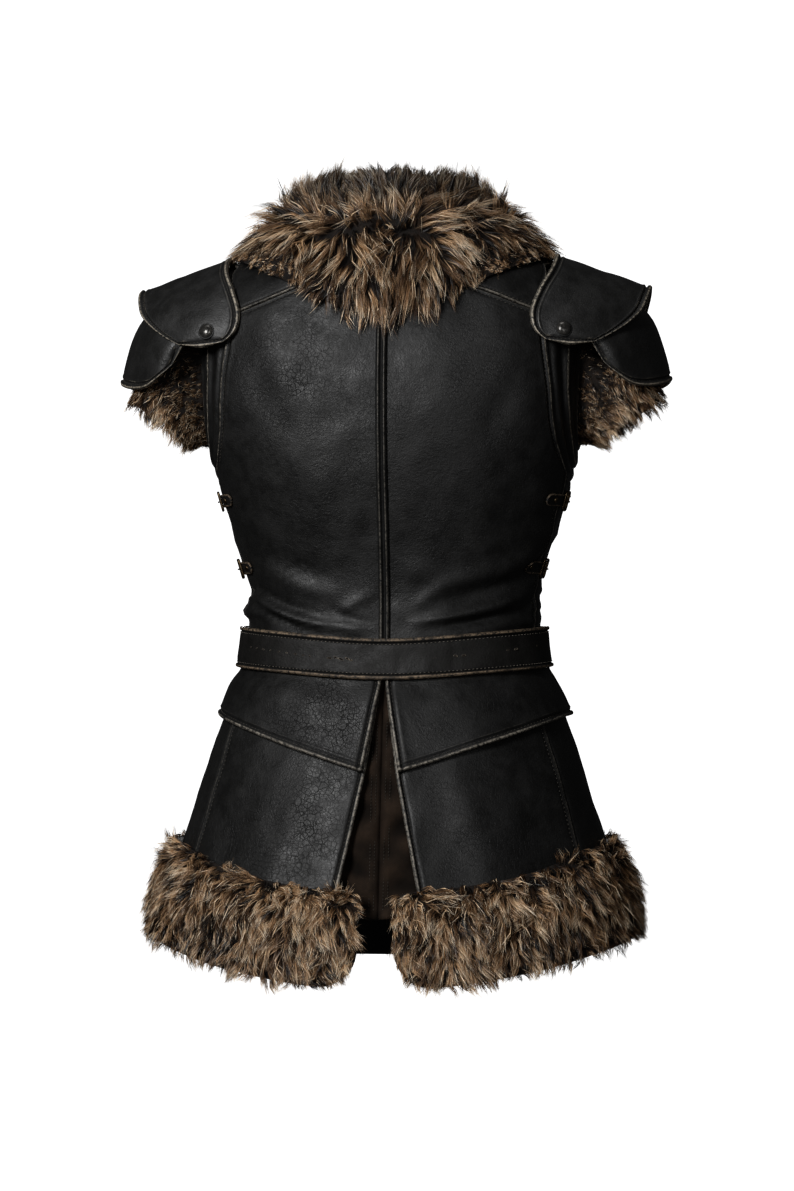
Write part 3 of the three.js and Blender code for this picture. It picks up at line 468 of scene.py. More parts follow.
class NT:
    def __init__(self, nt):
        self.nt = nt

    def new(self, kind, **kw):
        n = self.nt.nodes.new(kind)
        for k, v in kw.items():
            setattr(n, k, v)
        return n

    def link(self, a, b):
        self.nt.links.new(a, b)

    def noise(self, coord, scale, detail=4, rough=0.55, distortion=0.0):
        n = self.new("ShaderNodeTexNoise")
        n.inputs["Scale"].default_value = scale
        n.inputs["Detail"].default_value = detail
        n.inputs["Roughness"].default_value = rough
        n.inputs["Distortion"].default_value = distortion
        self.link(coord, n.inputs["Vector"])
        return n.outputs["Fac"]

    def voronoi(self, coord, scale, feature="F1", rand=1.0):
        n = self.new("ShaderNodeTexVoronoi", feature=feature)
        n.inputs["Scale"].default_value = scale
        n.inputs["Randomness"].default_value = rand
        self.link(coord, n.inputs["Vector"])
        return n.outputs["Distance"]

    def math(self, op, a, b=None, clamp=False):
        n = self.new("ShaderNodeMath", operation=op, use_clamp=clamp)
        for i, x in enumerate((a, b)):
            if x is None:
                continue
            if isinstance(x, (int, float)):
                n.inputs[i].default_value = x
            else:
                self.link(x, n.inputs[i])
        return n.outputs[0]

    def ramp(self, x, lo, hi, out_lo=0.0, out_hi=1.0, kind="SMOOTHSTEP"):
        n = self.new("ShaderNodeMapRange", interpolation_type=kind)
        self.link(x, n.inputs["Value"])
        n.inputs["From Min"].default_value = lo
        n.inputs["From Max"].default_value = hi
        n.inputs["To Min"].default_value = out_lo
        n.inputs["To Max"].default_value = out_hi
        return n.outputs["Result"]

    def mix(self, f, a, b):
        n = self.new("ShaderNodeMix", data_type="RGBA")
        if isinstance(f, (int, float)):
            n.inputs[0].default_value = f
        else:
            self.link(f, n.inputs[0])
        for i, x in ((6, a), (7, b)):
            if isinstance(x, tuple):
                n.inputs[i].default_value = (*x, 1.0)
            else:
                self.link(x, n.inputs[i])
        return n.outputs[2]

    def bump(self, height, distance, strength=1.0, normal=None):
        n = self.new("ShaderNodeBump")
        n.inputs["Distance"].default_value = distance
        n.inputs["Strength"].default_value = strength
        self.link(height, n.inputs["Height"])
        if normal is not None:
            self.link(normal, n.inputs["Normal"])
        return n.outputs["Normal"]


def leather(name, dark, light, worn, rough=(0.41, 0.58), crackle=1.0, wear=1.0, grain=1.0, runs_at=(0.33, 0.56), spec=0.37):
    m, nt = nodes_of(name)
    t = NT(nt)
    co = t.new("ShaderNodeTexCoord").outputs["Object"]
    big = t.noise(co, 11, 4, 0.6)
    mid = t.noise(co, 60, 6, 0.65)
    sand = t.noise(co, 1150, 3, 0.7)
    tone_ = t.math("ADD", t.math("MULTIPLY", t.ramp(big, 0.32, 0.7), 0.28), t.math("MULTIPLY", t.ramp(mid, 0.35, 0.7), 0.26))
    tone_ = t.math("ADD", tone_, t.math("MULTIPLY", t.ramp(sand, 0.36, 0.64), 0.46))
    col = t.mix(tone_, dark, light)
    # turned edges rubbed pale, in broken runs
    att = t.new("ShaderNodeAttribute", attribute_name="wear").outputs["Fac"]
    runs = t.math("MULTIPLY", t.ramp(t.noise(co, 38, 5, 0.75), runs_at[0], runs_at[1], 0.2, 1.0), t.ramp(t.noise(co, 320, 4, 0.75), 0.36, 0.58))
    rub = t.math("MULTIPLY", t.math("MULTIPLY", t.ramp(att, 0.15, 0.95), runs), wear, clamp=True)
    col = t.mix(rub, col, worn)
    # crackle of the finish: fine cracks all over, stronger in some places
    wn = t.new("ShaderNodeTexNoise")
    wn.inputs["Scale"].default_value = 130
    wn.inputs["Detail"].default_value = 3
    t.link(co, wn.inputs["Vector"])
    sc = t.new("ShaderNodeVectorMath", operation="SCALE")
    sc.inputs["Scale"].default_value = 0.0032
    t.link(wn.outputs["Color"], sc.inputs[0])
    warp = t.new("ShaderNodeVectorMath", operation="ADD")
    t.link(co, warp.inputs[0])
    t.link(sc.outputs[0], warp.inputs[1])
    # painted shade: the colour is darkened to near-black in grooves and troughs
    recess_shade = t.new("ShaderNodeAttribute", attribute_name="recess_shade").outputs["Fac"]
    col = t.mix(t.math("MULTIPLY", recess_shade, 0.9, True), col, (0.0012, 0.0011, 0.001))
    cr = t.voronoi(warp.outputs[0], 260, "DISTANCE_TO_EDGE")
    cr2 = t.voronoi(warp.outputs[0], 165, "DISTANCE_TO_EDGE")
    craze = t.new("ShaderNodeAttribute", attribute_name="crack").outputs["Fac"]
    patch = t.math("ADD", t.ramp(t.noise(co, 13, 4, 0.6), 0.36, 0.68, 0.10, 0.6), t.math("MULTIPLY", craze, t.ramp(t.noise(co, 32, 3, 0.6), 0.36, 0.56, 0.55, 1.0)), True)
    l1 = t.math("MULTIPLY", t.ramp(cr, 0.085, 0.0), t.ramp(t.noise(co, 85, 3, 0.6), 0.34, 0.58, 0.35, 1.0))
    l2 = t.math("MULTIPLY", t.ramp(cr2, 0.055, 0.0), t.ramp(t.noise(co, 45, 3, 0.6), 0.38, 0.56, 0.3, 1.0))
    lines = t.math("MULTIPLY", t.math("MAXIMUM", t.math("MULTIPLY", l1, 0.6), l2), t.math("MULTIPLY", patch, crackle))
    col = t.mix(t.math("MULTIPLY", lines, 0.95, True), col, tuple(c * 0.2 for c in dark))
    flat = t.new("ShaderNodeMapping")
    flat.inputs["Scale"].default_value = (1.0, 1.0, 1.9)
    t.link(warp.outputs[0], flat.inputs["Vector"])
    wrinkle = t.noise(flat.outputs[0], 170, 5, 0.7)
    peb = t.voronoi(co, 640, "SMOOTH_F1")
    h = t.math("ADD", t.math("MULTIPLY", peb, 0.32 * grain), t.math("MULTIPLY", wrinkle, 0.62 * grain))
    h = t.math("ADD", h, t.math("MULTIPLY", lines, -0.46))
    nrm = t.bump(t.noise(co, 34, 4, 0.55, 0.5), 0.0026, 0.34)
    nrm = t.bump(h, 0.0006, 0.85, nrm)
    rg = t.math("ADD", t.ramp(t.noise(co, 60, 5, 0.7), 0.3, 0.72, rough[0], rough[1]), t.math("MULTIPLY", t.math("MAXIMUM", rub, t.math("MULTIPLY", recess_shade, 3.0)), 0.1), clamp=True)
    rg = t.math("ADD", rg, t.math("MULTIPLY", lines, 0.35), clamp=True)
    b = t.new("ShaderNodeBsdfPrincipled")
    b.inputs["Specular IOR Level"].default_value = spec
    t.link(col, b.inputs["Base Color"])
    t.link(rg, b.inputs["Roughness"])
    t.link(nrm, b.inputs["Normal"])
    o = t.new("ShaderNodeOutputMaterial")
    t.link(b.outputs[0], o.inputs[0])
    return m


def hair_material(name, rough=0.42):
    m, nt = nodes_of(name)
    t = NT(nt)
    a = t.new("ShaderNodeAttribute", attribute_name="Col")
    co = t.new("ShaderNodeTexCoord").outputs["Object"]
    v = t.ramp(t.noise(co, 900, 2, 0.5), 0.3, 0.7, 0.75, 1.2)
    mul = t.new("ShaderNodeMix", data_type="RGBA", blend_type="MULTIPLY")
    mul.inputs[0].default_value = 1.0
    t.link(a.outputs["Color"], mul.inputs[6])
    cmb = t.new("ShaderNodeCombineColor")
    for i in range(3):
        t.link(v, cmb.inputs[i])
    t.link(cmb.outputs[0], mul.inputs[7])
    b = t.new("ShaderNodeBsdfPrincipled")
    b.inputs["Roughness"].default_value = rough
    b.inputs["Specular IOR Level"].default_value = 0.42
    t.link(mul.outputs[2], b.inputs["Base Color"])
    t.link(t.bump(t.noise(co, 1500, 2, 0.5), 0.0003, 0.4), b.inputs["Normal"])
    o = t.new("ShaderNodeOutputMaterial")
    t.link(b.outputs[0], o.inputs[0])
    return m


def hide_material(name):
    m, nt = nodes_of(name)
    t = NT(nt)
    co = t.new("ShaderNodeTexCoord").outputs["Object"]
    col = t.mix(t.ramp(t.noise(co, 120, 5, 0.65), 0.35, 0.7), (0.004, 0.0025, 0.0018), (0.018, 0.011, 0.007))
    b = t.new("ShaderNodeBsdfPrincipled")
    b.inputs["Roughness"].default_value = 0.95
    t.link(col, b.inputs["Base Color"])
    t.link(t.bump(t.noise(co, 500, 5, 0.7), 0.002, 0.8), b.inputs["Normal"])
    o = t.new("ShaderNodeOutputMaterial")
    t.link(b.outputs[0], o.inputs[0])
    return m


def cloth_material(name):
    m, nt = nodes_of(name)
    t = NT(nt)
    co = t.new("ShaderNodeTexCoord").outputs["Object"]
    sep = t.new("ShaderNodeSeparateXYZ")
    t.link(co, sep.inputs[0])
    wx = t.math("SINE", t.math("MULTIPLY", sep.outputs[0], 4200))
    wz = t.math("SINE", t.math("MULTIPLY", sep.outputs[2], 3600))
    weave = t.math("MULTIPLY", wx, wz)
    tone = t.ramp(t.noise(co, 40, 5, 0.65), 0.3, 0.72)
    col = t.mix(tone, (0.0095, 0.0062, 0.0042), (0.03, 0.019, 0.0125))
    col = t.mix(t.math("MULTIPLY", t.ramp(weave, -0.2, 0.9), 0.4), col, (0.066, 0.047, 0.033))
    # painted shade: the wrinkle troughs of the cloth are darkened
    low = t.new("ShaderNodeAttribute", attribute_name="recess_shade").outputs["Fac"]
    col = t.mix(t.math("MULTIPLY", low, 0.85, True), col, (0.0035, 0.0024, 0.0017))
    b = t.new("ShaderNodeBsdfPrincipled")
    b.inputs["Roughness"].default_value = 0.82
    b.inputs["Specular IOR Level"].default_value = 0.15
    t.link(col, b.inputs["Base Color"])
    n1 = t.bump(t.noise(co, 60, 4, 0.6, 0.5), 0.002, 0.5)
    t.link(t.bump(weave, 0.0003, 0.5, n1), b.inputs["Normal"])
    o = t.new("ShaderNodeOutputMaterial")
    t.link(b.outputs[0], o.inputs[0])
    return m


def metal_material(name, dark, light, metallic=1.0, rough=(0.3, 0.55)):
    m, nt = nodes_of(name)
    t = NT(nt)
    co = t.new("ShaderNodeTexCoord").outputs["Object"]
    geo = t.new("ShaderNodeNewGeometry")
    rub = t.math("ADD", t.ramp(geo.outputs["Pointiness"], 0.5, 0.58), t.ramp(t.noise(co, 260, 4, 0.6), 0.45, 0.75), clamp=True)
    col = t.mix(t.math("MULTIPLY", rub, 0.8), dark, light)
    b = t.new("ShaderNodeBsdfPrincipled")
    b.inputs["Metallic"].default_value = metallic
    t.link(col, b.inputs["Base Color"])
    t.link(t.ramp(t.noise(co, 180, 4, 0.6), 0.3, 0.7, rough[0], rough[1]), b.inputs["Roughness"])
    t.link(t.bump(t.noise(co, 700, 3, 0.6), 0.0003, 0.35), b.inputs["Normal"])
    o = t.new("ShaderNodeOutputMaterial")
    t.link(b.outputs[0], o.inputs[0])
    return m


M_LEATHER = leather("black_leather", (0.0034, 0.0033, 0.0032), (0.0172, 0.0170, 0.0165), (0.29, 0.262, 0.22))
M_CAP = leather("cap_leather", (0.0040, 0.0039, 0.0037), (0.0180, 0.0177, 0.0172), (0.38, 0.335, 0.265), crackle=0.3, runs_at=(0.24, 0.46), spec=0.58)
M_BELT = leather("belt_leather", (0.0045, 0.0042, 0.0039), (0.0160, 0.0150, 0.0138), (0.225, 0.17, 0.118), rough=(0.5, 0.66), crackle=0.5, spec=0.28)
M_LIP = leather("belt_hole_lips", (0.012, 0.010, 0.008), (0.022, 0.018, 0.014), (0.34, 0.29, 0.23), rough=(0.5, 0.7), crackle=0, wear=0.9, runs_at=(0.42, 0.6))
M_HAIR = hair_material("fur_hair")
M_HIDE = hide_material("fur_hide")
M_CLOTH = cloth_material("brown_cloth")
M_BRONZE = metal_material("aged_bronze", (0.022, 0.016, 0.011), (0.14, 0.103, 0.063))
M_SNAP = metal_material("black_snap", (0.034, 0.033, 0.031), (0.12, 0.113, 0.103), 0.55, (0.17, 0.32))
# near-black finish of the snap's flange: painted contact shade around the snap
M_SNAP_SHADE = metal_material("snap_shade_ring", (0.0035, 0.0034, 0.0033), (0.010, 0.0096, 0.009), 0.2, (0.5, 0.7))
M_PALE_THREAD = leather("pale_thread", (0.10, 0.09, 0.078), (0.24, 0.215, 0.185), (0.05, 0.045, 0.04), rough=(0.5, 0.7), crackle=0, wear=0, grain=0.3)
M_THREAD = leather("thread", (0.03, 0.027, 0.023), (0.085, 0.076, 0.064), (0.05, 0.045, 0.04), rough=(0.5, 0.7), crackle=0, wear=0, grain=0.3)


def give(ob, node=None):
    if node:
        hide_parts(*([node] if isinstance(node, str) else node))
    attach(ob, "root")
    return ob


# ------------------------------------------------------------------ bodice
ARM_STEPS = 10
_arm = cat(ARMHOLE, np.linspace(0, len(ARMHOLE) - 1, ARM_STEPS * 4 + 1))
_armz = _arm[_arm[:, 3] < -45]


def side_line(z):
    z = np.asarray(z, float)
    a = np.interp(-z, -_armz[:, 3], np.maximum(_armz[:, 2], 0))
    return np.where(z > -243, a, read(SIDE_SEAM, z))


def seam_b(z):
    return side_line(np.clip(z, -432, -60)) + 0.13


def yoke_back_s(p):
    return s_of_z(read(YOKE_BACK, np.clip(p, 30, 90)) - 0.6)


def yoke_front_s(p):
    return s_of_z(read(YOKE_FRONT, np.clip(-p, 30, 61)) - 0.6)


def neck_s(p):
    return s_of_z(read(NECK, np.abs(90 - p)))


WAIST_S = float(s_of_z(WAIST_SEAM))
SKIRT_S = float(s_of_z(WAIST_SEAM - 0.8))
STITCHES = []                       # (start, end, normal) arrays in mm


BELT_STITCHES = []


def stitch_line(P, n, pitch=4.4, length=2.9, lift=0.25, into=None):
    """Thread bars along a line of points."""
    seg = np.linalg.norm(np.diff(P, axis=0), axis=1)
    L = np.concatenate([[0], np.cumsum(seg)])
    k = np.arange(pitch / 2, L[-1] - pitch / 2, pitch)
    if not len(k):
        return
    g = lambda A, x: np.stack([np.interp(x, L, A[:, i]) for i in range(3)], 1)
    a, b, m = g(P, k - length / 2), g(P, k + length / 2), unit(g(n, k))
    (STITCHES if into is None else into).append((a + m * lift, b + m * lift, m))


def line_at(grid, nrm, D, which, dist):
    """Points of a grid at a distance from one of its edges."""
    pts, nn = [], []
    d = D[which]
    if which < 2:
        for j in range(grid.shape[1]):
            col = d[:, j] if which == 0 else d[::-1, j]
            g = grid[:, j] if which == 0 else grid[::-1, j]
            m = nrm[:, j] if which == 0 else nrm[::-1, j]
            pts.append([np.interp(dist, col, g[:, k]) for k in range(3)])
            nn.append([np.interp(dist, col, m[:, k]) for k in range(3)])
    else:
        for i in range(grid.shape[0]):
            col = d[i] if which == 2 else d[i, ::-1]
            g = grid[i] if which == 2 else grid[i, ::-1]
            m = nrm[i] if which == 2 else nrm[i, ::-1]
            pts.append([np.interp(dist, col, g[:, k]) for k in range(3)])
            nn.append([np.interp(dist, col, m[:, k]) for k in range(3)])
    return np.array(pts), np.array(nn)


def stitch_edge(res, which, dist, trim=(0, 0), **kw):
    _, g, n, D = res
    P, nn = line_at(g, n, D, which, dist)
    a, b = trim
    seg = np.concatenate([[0], np.cumsum(np.linalg.norm(np.diff(P, axis=0), axis=1))])
    keep = (seg >= a) & (seg <= seg[-1] - b)
    if keep.sum() > 2:
        stitch_line(P[keep], nn[keep], **kw)


def pucker(p, z, D):
    """Small ripples of the leather where it is stitched to the centre strip."""
    near = np.exp(-(D[1] / 13) ** 2)
    return near * (0.6 * np.sin(z / 3.9 + 2 * np.sin(z / 31)) * (0.55 + 0.45 * np.sin(z / 47 + 1)))


for sd, nm in ((1, "L"), (-1, "R")):
    r = panel(f"back_{nm}_leather", f"back_{nm}", seam_b, lambda z: phi_at_x(GAP / 2, s_of_z(z)),
              lambda p: yoke_back_s(p) + 0.018, lambda p: WAIST_S + 0 * p, (185, 360), (RIM, None, SEAM, None),
              side=sd, mat=M_LEATHER, shape=pucker)
    stitch_edge(r, 0, 5.1, trim=(6, 14))
    stitch_edge(r, 2, 4.2, trim=(8, 0))
    r = panel(f"front_{nm}_leather", f"front_{nm}", lambda z: -seam_b(z), lambda z: phi_at_x(GAP / 2 + 0.1, s_of_z(z), True),
              lambda p: np.where(p > -61, yoke_front_s(p) + 0.018, np.maximum(yoke_front_s(-61.0) + 0.018, neck_s(p))),
              lambda p: WAIST_S + 0 * p, (185, 340), (RIM, None, SEAM, None), side=sd, mat=M_LEATHER)
    stitch_edge(r, 0, 5.1, trim=(6, 14))
    r = panel(f"side_{nm}_leather", f"side_{nm}", lambda z: read(SIDE_SEAM, np.clip(z, -430, -243)) + 0.21,
              lambda z: -read(SIDE_SEAM, np.clip(z, -430, -243)) - 0.21,
              lambda p: s_of_z(np.interp(np.abs(p), [0, 14], [-257.4, -245.2]) - 1.6), lambda p: WAIST_S + 0 * p,
              (70, 170), (SEAM, SEAM, SEAM, None), side=sd, mat=M_LEATHER)

# yokes
YOKE_LOW = ([tuple(r) for r in YOKE_BACK[::-1]] + [(r[2], r[3] + 2.2) for r in ARMHOLE[:3][::-1]]
            + [(-r[2], r[3] + 2.2) for r in ARMHOLE[1:3]] + [(-p, z) for p, z in YOKE_FRONT])
YOKE_LOW = np.array(YOKE_LOW, float)
for sd, nm in ((1, "L"), (-1, "R")):
    k = np.linspace(0, len(YOKE_LOW) - 1, 61)
    k = np.unique(np.concatenate([k, np.arange(len(YOKE_LOW))]))
    phi = np.interp(k, np.arange(len(YOKE_LOW)), YOKE_LOW[:, 0])
    zlo = np.interp(k, np.arange(len(YOKE_LOW)), YOKE_LOW[:, 1])
    phi = np.minimum(phi, 89.9)
    s1 = s_of_z(zlo) - 0.012
    s0 = np.minimum(neck_s(phi), s1 - 0.08)
    vs = spaced(70, None, SEAM, 6)
    S = s0[:, None] + (s1 - s0)[:, None] * vs[None]
    PH = np.broadcast_to(phi[:, None], S.shape)
    ph = PH if sd > 0 else 180 - PH
    base = out(ph, S)
    n = grid_normals(base)
    if np.sum(n * normal(ph, S)) < 0:
        n = -n
    D = edge_distances(base)
    h = bead(D[3], *SEAM)
    # painted shade in the stitched groove beside the yoke's lower seam
    ob = slab(f"yoke_{nm}_leather", base + n * h[..., None], base - n * WALL, attrs={"wear": rubbed(D[3], SEAM[0]) * 0.8, "recess_shade": groove_shade(D[3], SEAM[0])}, mats=(M_LEATHER,))
    give(ob, f"yoke_{nm}")
    lo = base + n * h[..., None]
    P, nn = line_at(lo, n, D, 3, 4.2)
    stitch_line(P[(phi > 31)], nn[(phi > 31)])

# armhole bands: three soft ridges that run round the opening
for sd, nm in ((1, "L"), (-1, "R")):
    n_r = len(ARMHOLE) - 1
    U = np.linspace(0, 1, 130, endpoint=False)
    w = U * 2 * n_r
    back = w <= n_r
    r = cat(ARMHOLE, np.where(back, w, 2 * n_r - w))
    sg = np.where(back, 1.0, -1.0)
    phO = np.maximum(r[:, 2] - 0.15, 0) * sg
    phI = np.maximum(r[:, 0], 0) * sg
    zO = r[:, 3] + np.where(r[:, 3] > -100, -1.6, 0.7)
    sO, sI = s_of_z(zO), s_of_z(r[:, 1])
    vs = np.linspace(0, 1, 35)
    PH = phO[:, None] + (phI - phO)[:, None] * vs
    S = sO[:, None] + (sI - sO)[:, None] * vs
    ph = PH if sd > 0 else 180 - PH
    base = out(ph, S, -0.2, worn=0.6)
    n = unit(np.cross(np.roll(base, -1, 0) - np.roll(base, 1, 0), np.gradient(base, axis=1)))
    if np.sum(n * normal(ph, S)) < 0:
        n = -n
    lv = np.cumsum(np.linalg.norm(np.diff(base, axis=1), axis=-1), axis=1)
    lv = np.concatenate([np.zeros((lv.shape[0], 1)), lv], 1)
    d0, d1 = lv, lv[:, -1:] - lv
    full = lv[:, -1:] + 1e-6
    amp = smooth(6, 22, full)
    q = d0 / full
    drift = 0.03 * np.sin(U * 40)[:, None]
    pipe = lambda c, w_: np.clip(1 - ((q - c - drift) / w_) ** 2, 0, 1) ** 0.6
    ridge = 2.0 * pipe(0.50, 0.085) + 1.1 * pipe(0.18, 0.07) - 1.5 * np.exp(-((q - 0.66) / 0.06) ** 2) \
        - 1.3 * np.exp(-((q - 0.34) / 0.06) ** 2) - 1.2 * np.exp(-((q - 0.05) / 0.05) ** 2)
    h = bead(d1, 5.4, 1.9) + ridge * amp
    wear = np.maximum(rubbed(d1, 5.4), 1.0 * np.exp(-((q - 0.50 - drift) / 0.03) ** 2) * amp)
    # painted shade in the two troughs beside the middle ridge
    recess_shade = np.clip(np.exp(-((q - 0.66) / 0.05) ** 2) + np.exp(-((q - 0.34) / 0.05) ** 2), 0, 1) * amp
    ob = slab(f"armhole_band_{nm}_leather", base + n * h[..., None], base - n * (WALL + 0 * h)[..., None], closed=True,
              attrs={"wear": wear, "recess_shade": recess_shade}, mats=(M_LEATHER,))
    give(ob, f"armhole_band_{nm}")


def strip(name, node, half, z0, z1, front, lift, wall, mat=M_LEATHER, wear=1.0):
    """A raised strip on the middle seam, with a ridge along each side."""
    nx = 21
    zs = np.linspace(z0, z1, max(int((z0 - z1) / 4), 8))
    X, Z = np.meshgrid(np.linspace(-half, half, nx), zs, indexing="ij")
    S = s_of_z(Z)
    ph = phi_at_x(np.maximum(np.abs(X), 0.01), S, front)
    full = np.where(X >= 0, ph, 180 - ph)
    base = out(full, S, lift, worn=1.0)
    base[..., 0] = np.where(np.abs(X) < 0.005, 0, base[..., 0])
    n = np.broadcast_to(normal(np.where(front, -90.0, 90.0) + 0 * X, S), base.shape)
    e = half - np.abs(X)
    prof = 1.7 * np.exp(-((e - 2.7) / 1.45) ** 2) - 0.9 * np.exp(-(X / 1.0) ** 2) - 0.9 * np.exp(-(e / 0.5) ** 2)
    if half > 8:
        prof = bead(e, 4.4, 0.8)
    # painted shade along the middle groove and along both outer edges
    ob = slab(name, base + n * (wall + prof)[..., None], base, attrs={"wear": np.maximum(rubbed(e, 4.0) * np.interp(-Z, [99, 330, 424], [0.2, 0.3, 0.6]), 0.50 * np.exp(-((e - 2.7) / 0.9) ** 2)), "recess_shade": np.clip(np.exp(-(X / 1.0) ** 2) + np.exp(-(e / 0.8) ** 2), 0, 1)}, mats=(mat,))
    give(ob, node)
    return base + n * (wall + prof)[..., None], n, (e, e, Z, Z)


strip("back_strip_leather", "back_strip", STRIP_WIDTH / 2 + 1.4, -99, -424, False, 0.9, 1.6)
strip("front_band_leather", "front_band", BAND_WIDTH / 2, -183, -424, True, 0.9, 1.6)
strip("front_band_low_leather", "front_band_low", BAND_WIDTH / 2, -560, HEM_FRONT, True, 0.9, 1.6)

# ------------------------------------------------------------------ skirt


def skirt_off(phi, z):
    return -1.4 * (1 - smooth(0, 44, belt_bot(phi) - z))


def flap_off(phi, z):
    return WALL + 1.0 + 2.8 * smooth(0, 26, belt_bot(phi) - z)


def flap_hem(phi):
    x = np.abs(face(phi, s_of_z(-520.0) + 0 * phi)[..., 0])
    return lerp(FLAP_CENTRE, FLAP_SIDE, np.clip((x - 18) / (185 - 18), 0, 1))


def vent(T):
    return lambda z: phi_at_x(read(T, z), s_of_z(z))


def flap_wave(p, z, D):
    hang = smooth(-455, -540, z)
    q = (p + 90) % 360
    return hang * (1.1 * np.sin(q / 11.5 + 0.8) + 0.7 * np.sin(q / 6.1 + 2.0))


for sd, nm in ((1, "L"), (-1, "R")):
    r = panel(f"skirt_back_{nm}_leather", f"skirt_back_{nm}", lambda z: SKIRT_SEAM_PHI - 0.08 + 0 * z, vent(VENT_SKIRT),
              lambda p: SKIRT_S + 0 * p, lambda p: s_of_z(HEM_BACK) + 0 * p, (175, 300), (SEAM, RIM, None, None),
              off=skirt_off, side=sd, mat=M_LEATHER)
    stitch_edge(r, 0, 4.4, trim=(60, 30))
    stitch_edge(r, 1, 5.3, trim=(60, 30))
    r = panel(f"skirt_side_{nm}_leather", f"skirt_side_{nm}", lambda z: SKIRT_SEAM_PHI + 0.08 + 0 * z,
              lambda z: -SKIRT_SEAM_PHI - 0.08 + 0 * z, lambda p: SKIRT_S + 0 * p, lambda p: s_of_z(HEM_BACK + 14) + 0 * p,
              (150, 290), (SEAM, SEAM, None, None), off=skirt_off, side=sd, mat=M_LEATHER)
    r = panel(f"skirt_front_{nm}_leather", f"skirt_front_{nm}", lambda z: -SKIRT_SEAM_PHI + 0.08 + 0 * z,
              lambda z: phi_at_x(GAP / 2 + 0.1, s_of_z(z), True), lambda p: SKIRT_S + 0 * p,
              lambda p: s_of_z(lerp(HEM_BACK + 14, HEM_FRONT, smooth(20, 62, -p))), (190, 340), (SEAM, None, None, None),
              off=skirt_off, side=sd, mat=M_LEATHER)
    stitch_edge(r, 0, 4.4, trim=(60, 30))
    r = panel(f"flap_back_{nm}_leather", f"flap_back_{nm}", lambda z: -1 + 0 * z, vent(VENT_FLAP), lambda p: SKIRT_S + 0 * p,
              lambda p: s_of_z(flap_hem(p)), (195, 105), (RIM, RIM, None, RIM), off=flap_off, side=sd, mat=M_LEATHER,
              shape=flap_wave)
    for k in (0, 1, 3):
        stitch_edge(r, k, 5.3, trim=(26, 5) if k < 2 else (5, 5))
    r = panel(f"flap_front_{nm}_leather", f"flap_front_{nm}", lambda z: -1.4 + 0 * z,
              lambda z: phi_at_x(lerp(1.2, 5, smooth(-440, -550, z)), s_of_z(z), True), lambda p: SKIRT_S + 0 * p,
              lambda p: s_of_z(flap_hem(p)), (195, 105), (RIM, RIM, None, RIM), off=flap_off, side=sd, mat=M_LEATHER,
              shape=flap_wave)
    for k in (0, 1, 3):
        stitch_edge(r, k, 5.3, trim=(26, 5) if k < 2 else (5, 5))

# brown cloth behind the vent
for sd, nm in ((1, "L"), (-1, "R")):
    U, V = np.meshgrid(np.linspace(0, 1, 26), np.linspace(0, 1, 76), indexing="ij")
    Z = lerp(-446, LINER_HEM + 3 * (U - 0.4), V)
    S = s_of_z(Z)
    X = lerp(GAP / 2, 78 + 20 * V, U)
    ph = phi_at_x(X, S)
    o = -lerp(4.4, 15, V ** 1.3)
    P = face(ph, S) + normal(ph, S) * o[..., None]
    n = normal(ph, S)
    if sd < 0:
        P, n = P * [-1, 1, 1], n * [-1, 1, 1]
    x, z = P[..., 0], P[..., 2]
    ph_ = 1.6 * np.sin(x / 19 + 0.6) + 0.9 * np.sin(z / 37)
    h = 2.7 * np.sin((z + 0.35 * x) / 8.0 + ph_) * (0.35 + 0.65 * np.sin(z / 29 + 0.5) ** 2) \
        + 1.5 * np.sin((z - 0.6 * x) / 4.6 + 1.1 + ph_) * (0.3 + 0.7 * np.sin(z / 21 + x / 30) ** 2) \
        + 1.2 * np.sin((x + 0.2 * z) / 12.0) * smooth(-500, -690, z)
    e = np.abs(x)
    h = h * smooth(1, 9, e) + 0.8 * np.exp(-((e - 2.4) / 1.3) ** 2) + 0.6 * np.exp(-((e - 7.4) / 1.2) ** 2) - 0.6 * np.exp(-(e / 0.8) ** 2)
    low = -LINER_HEM + z
    h = h + 0.7 * np.exp(-((low - 5) / 1.2) ** 2)
    # painted shade: the lower the cloth lies in its wrinkles, the darker it is coloured
    ob = slab(f"underlay_{nm}_cloth", P + n * h[..., None], P + n * (h - 1.5)[..., None],
              attrs={"recess_shade": np.clip(0.45 - h / 4.0, 0, 1)}, mats=(M_CLOTH,))
    give(ob, f"underlay_{nm}")
    for off_x in (4.9, 9.6):
        zz = np.linspace(-470, LINER_HEM + 4, 60)
        ss = s_of_z(zz)
        pp = phi_at_x(np.full(60, off_x), ss)
        v = np.clip((zz + 446) / (LINER_HEM + 446), 0, 1)
        q = face(pp, ss) + normal(pp, ss) * (-lerp(4.4, 15, v ** 1.3) + 0.5)[:, None]
        m = normal(pp, ss)
        if sd < 0:
            q, m = q * [-1, 1, 1], m * [-1, 1, 1]
        stitch_line(q, m, pitch=3.4, length=2.2, lift=0.3)


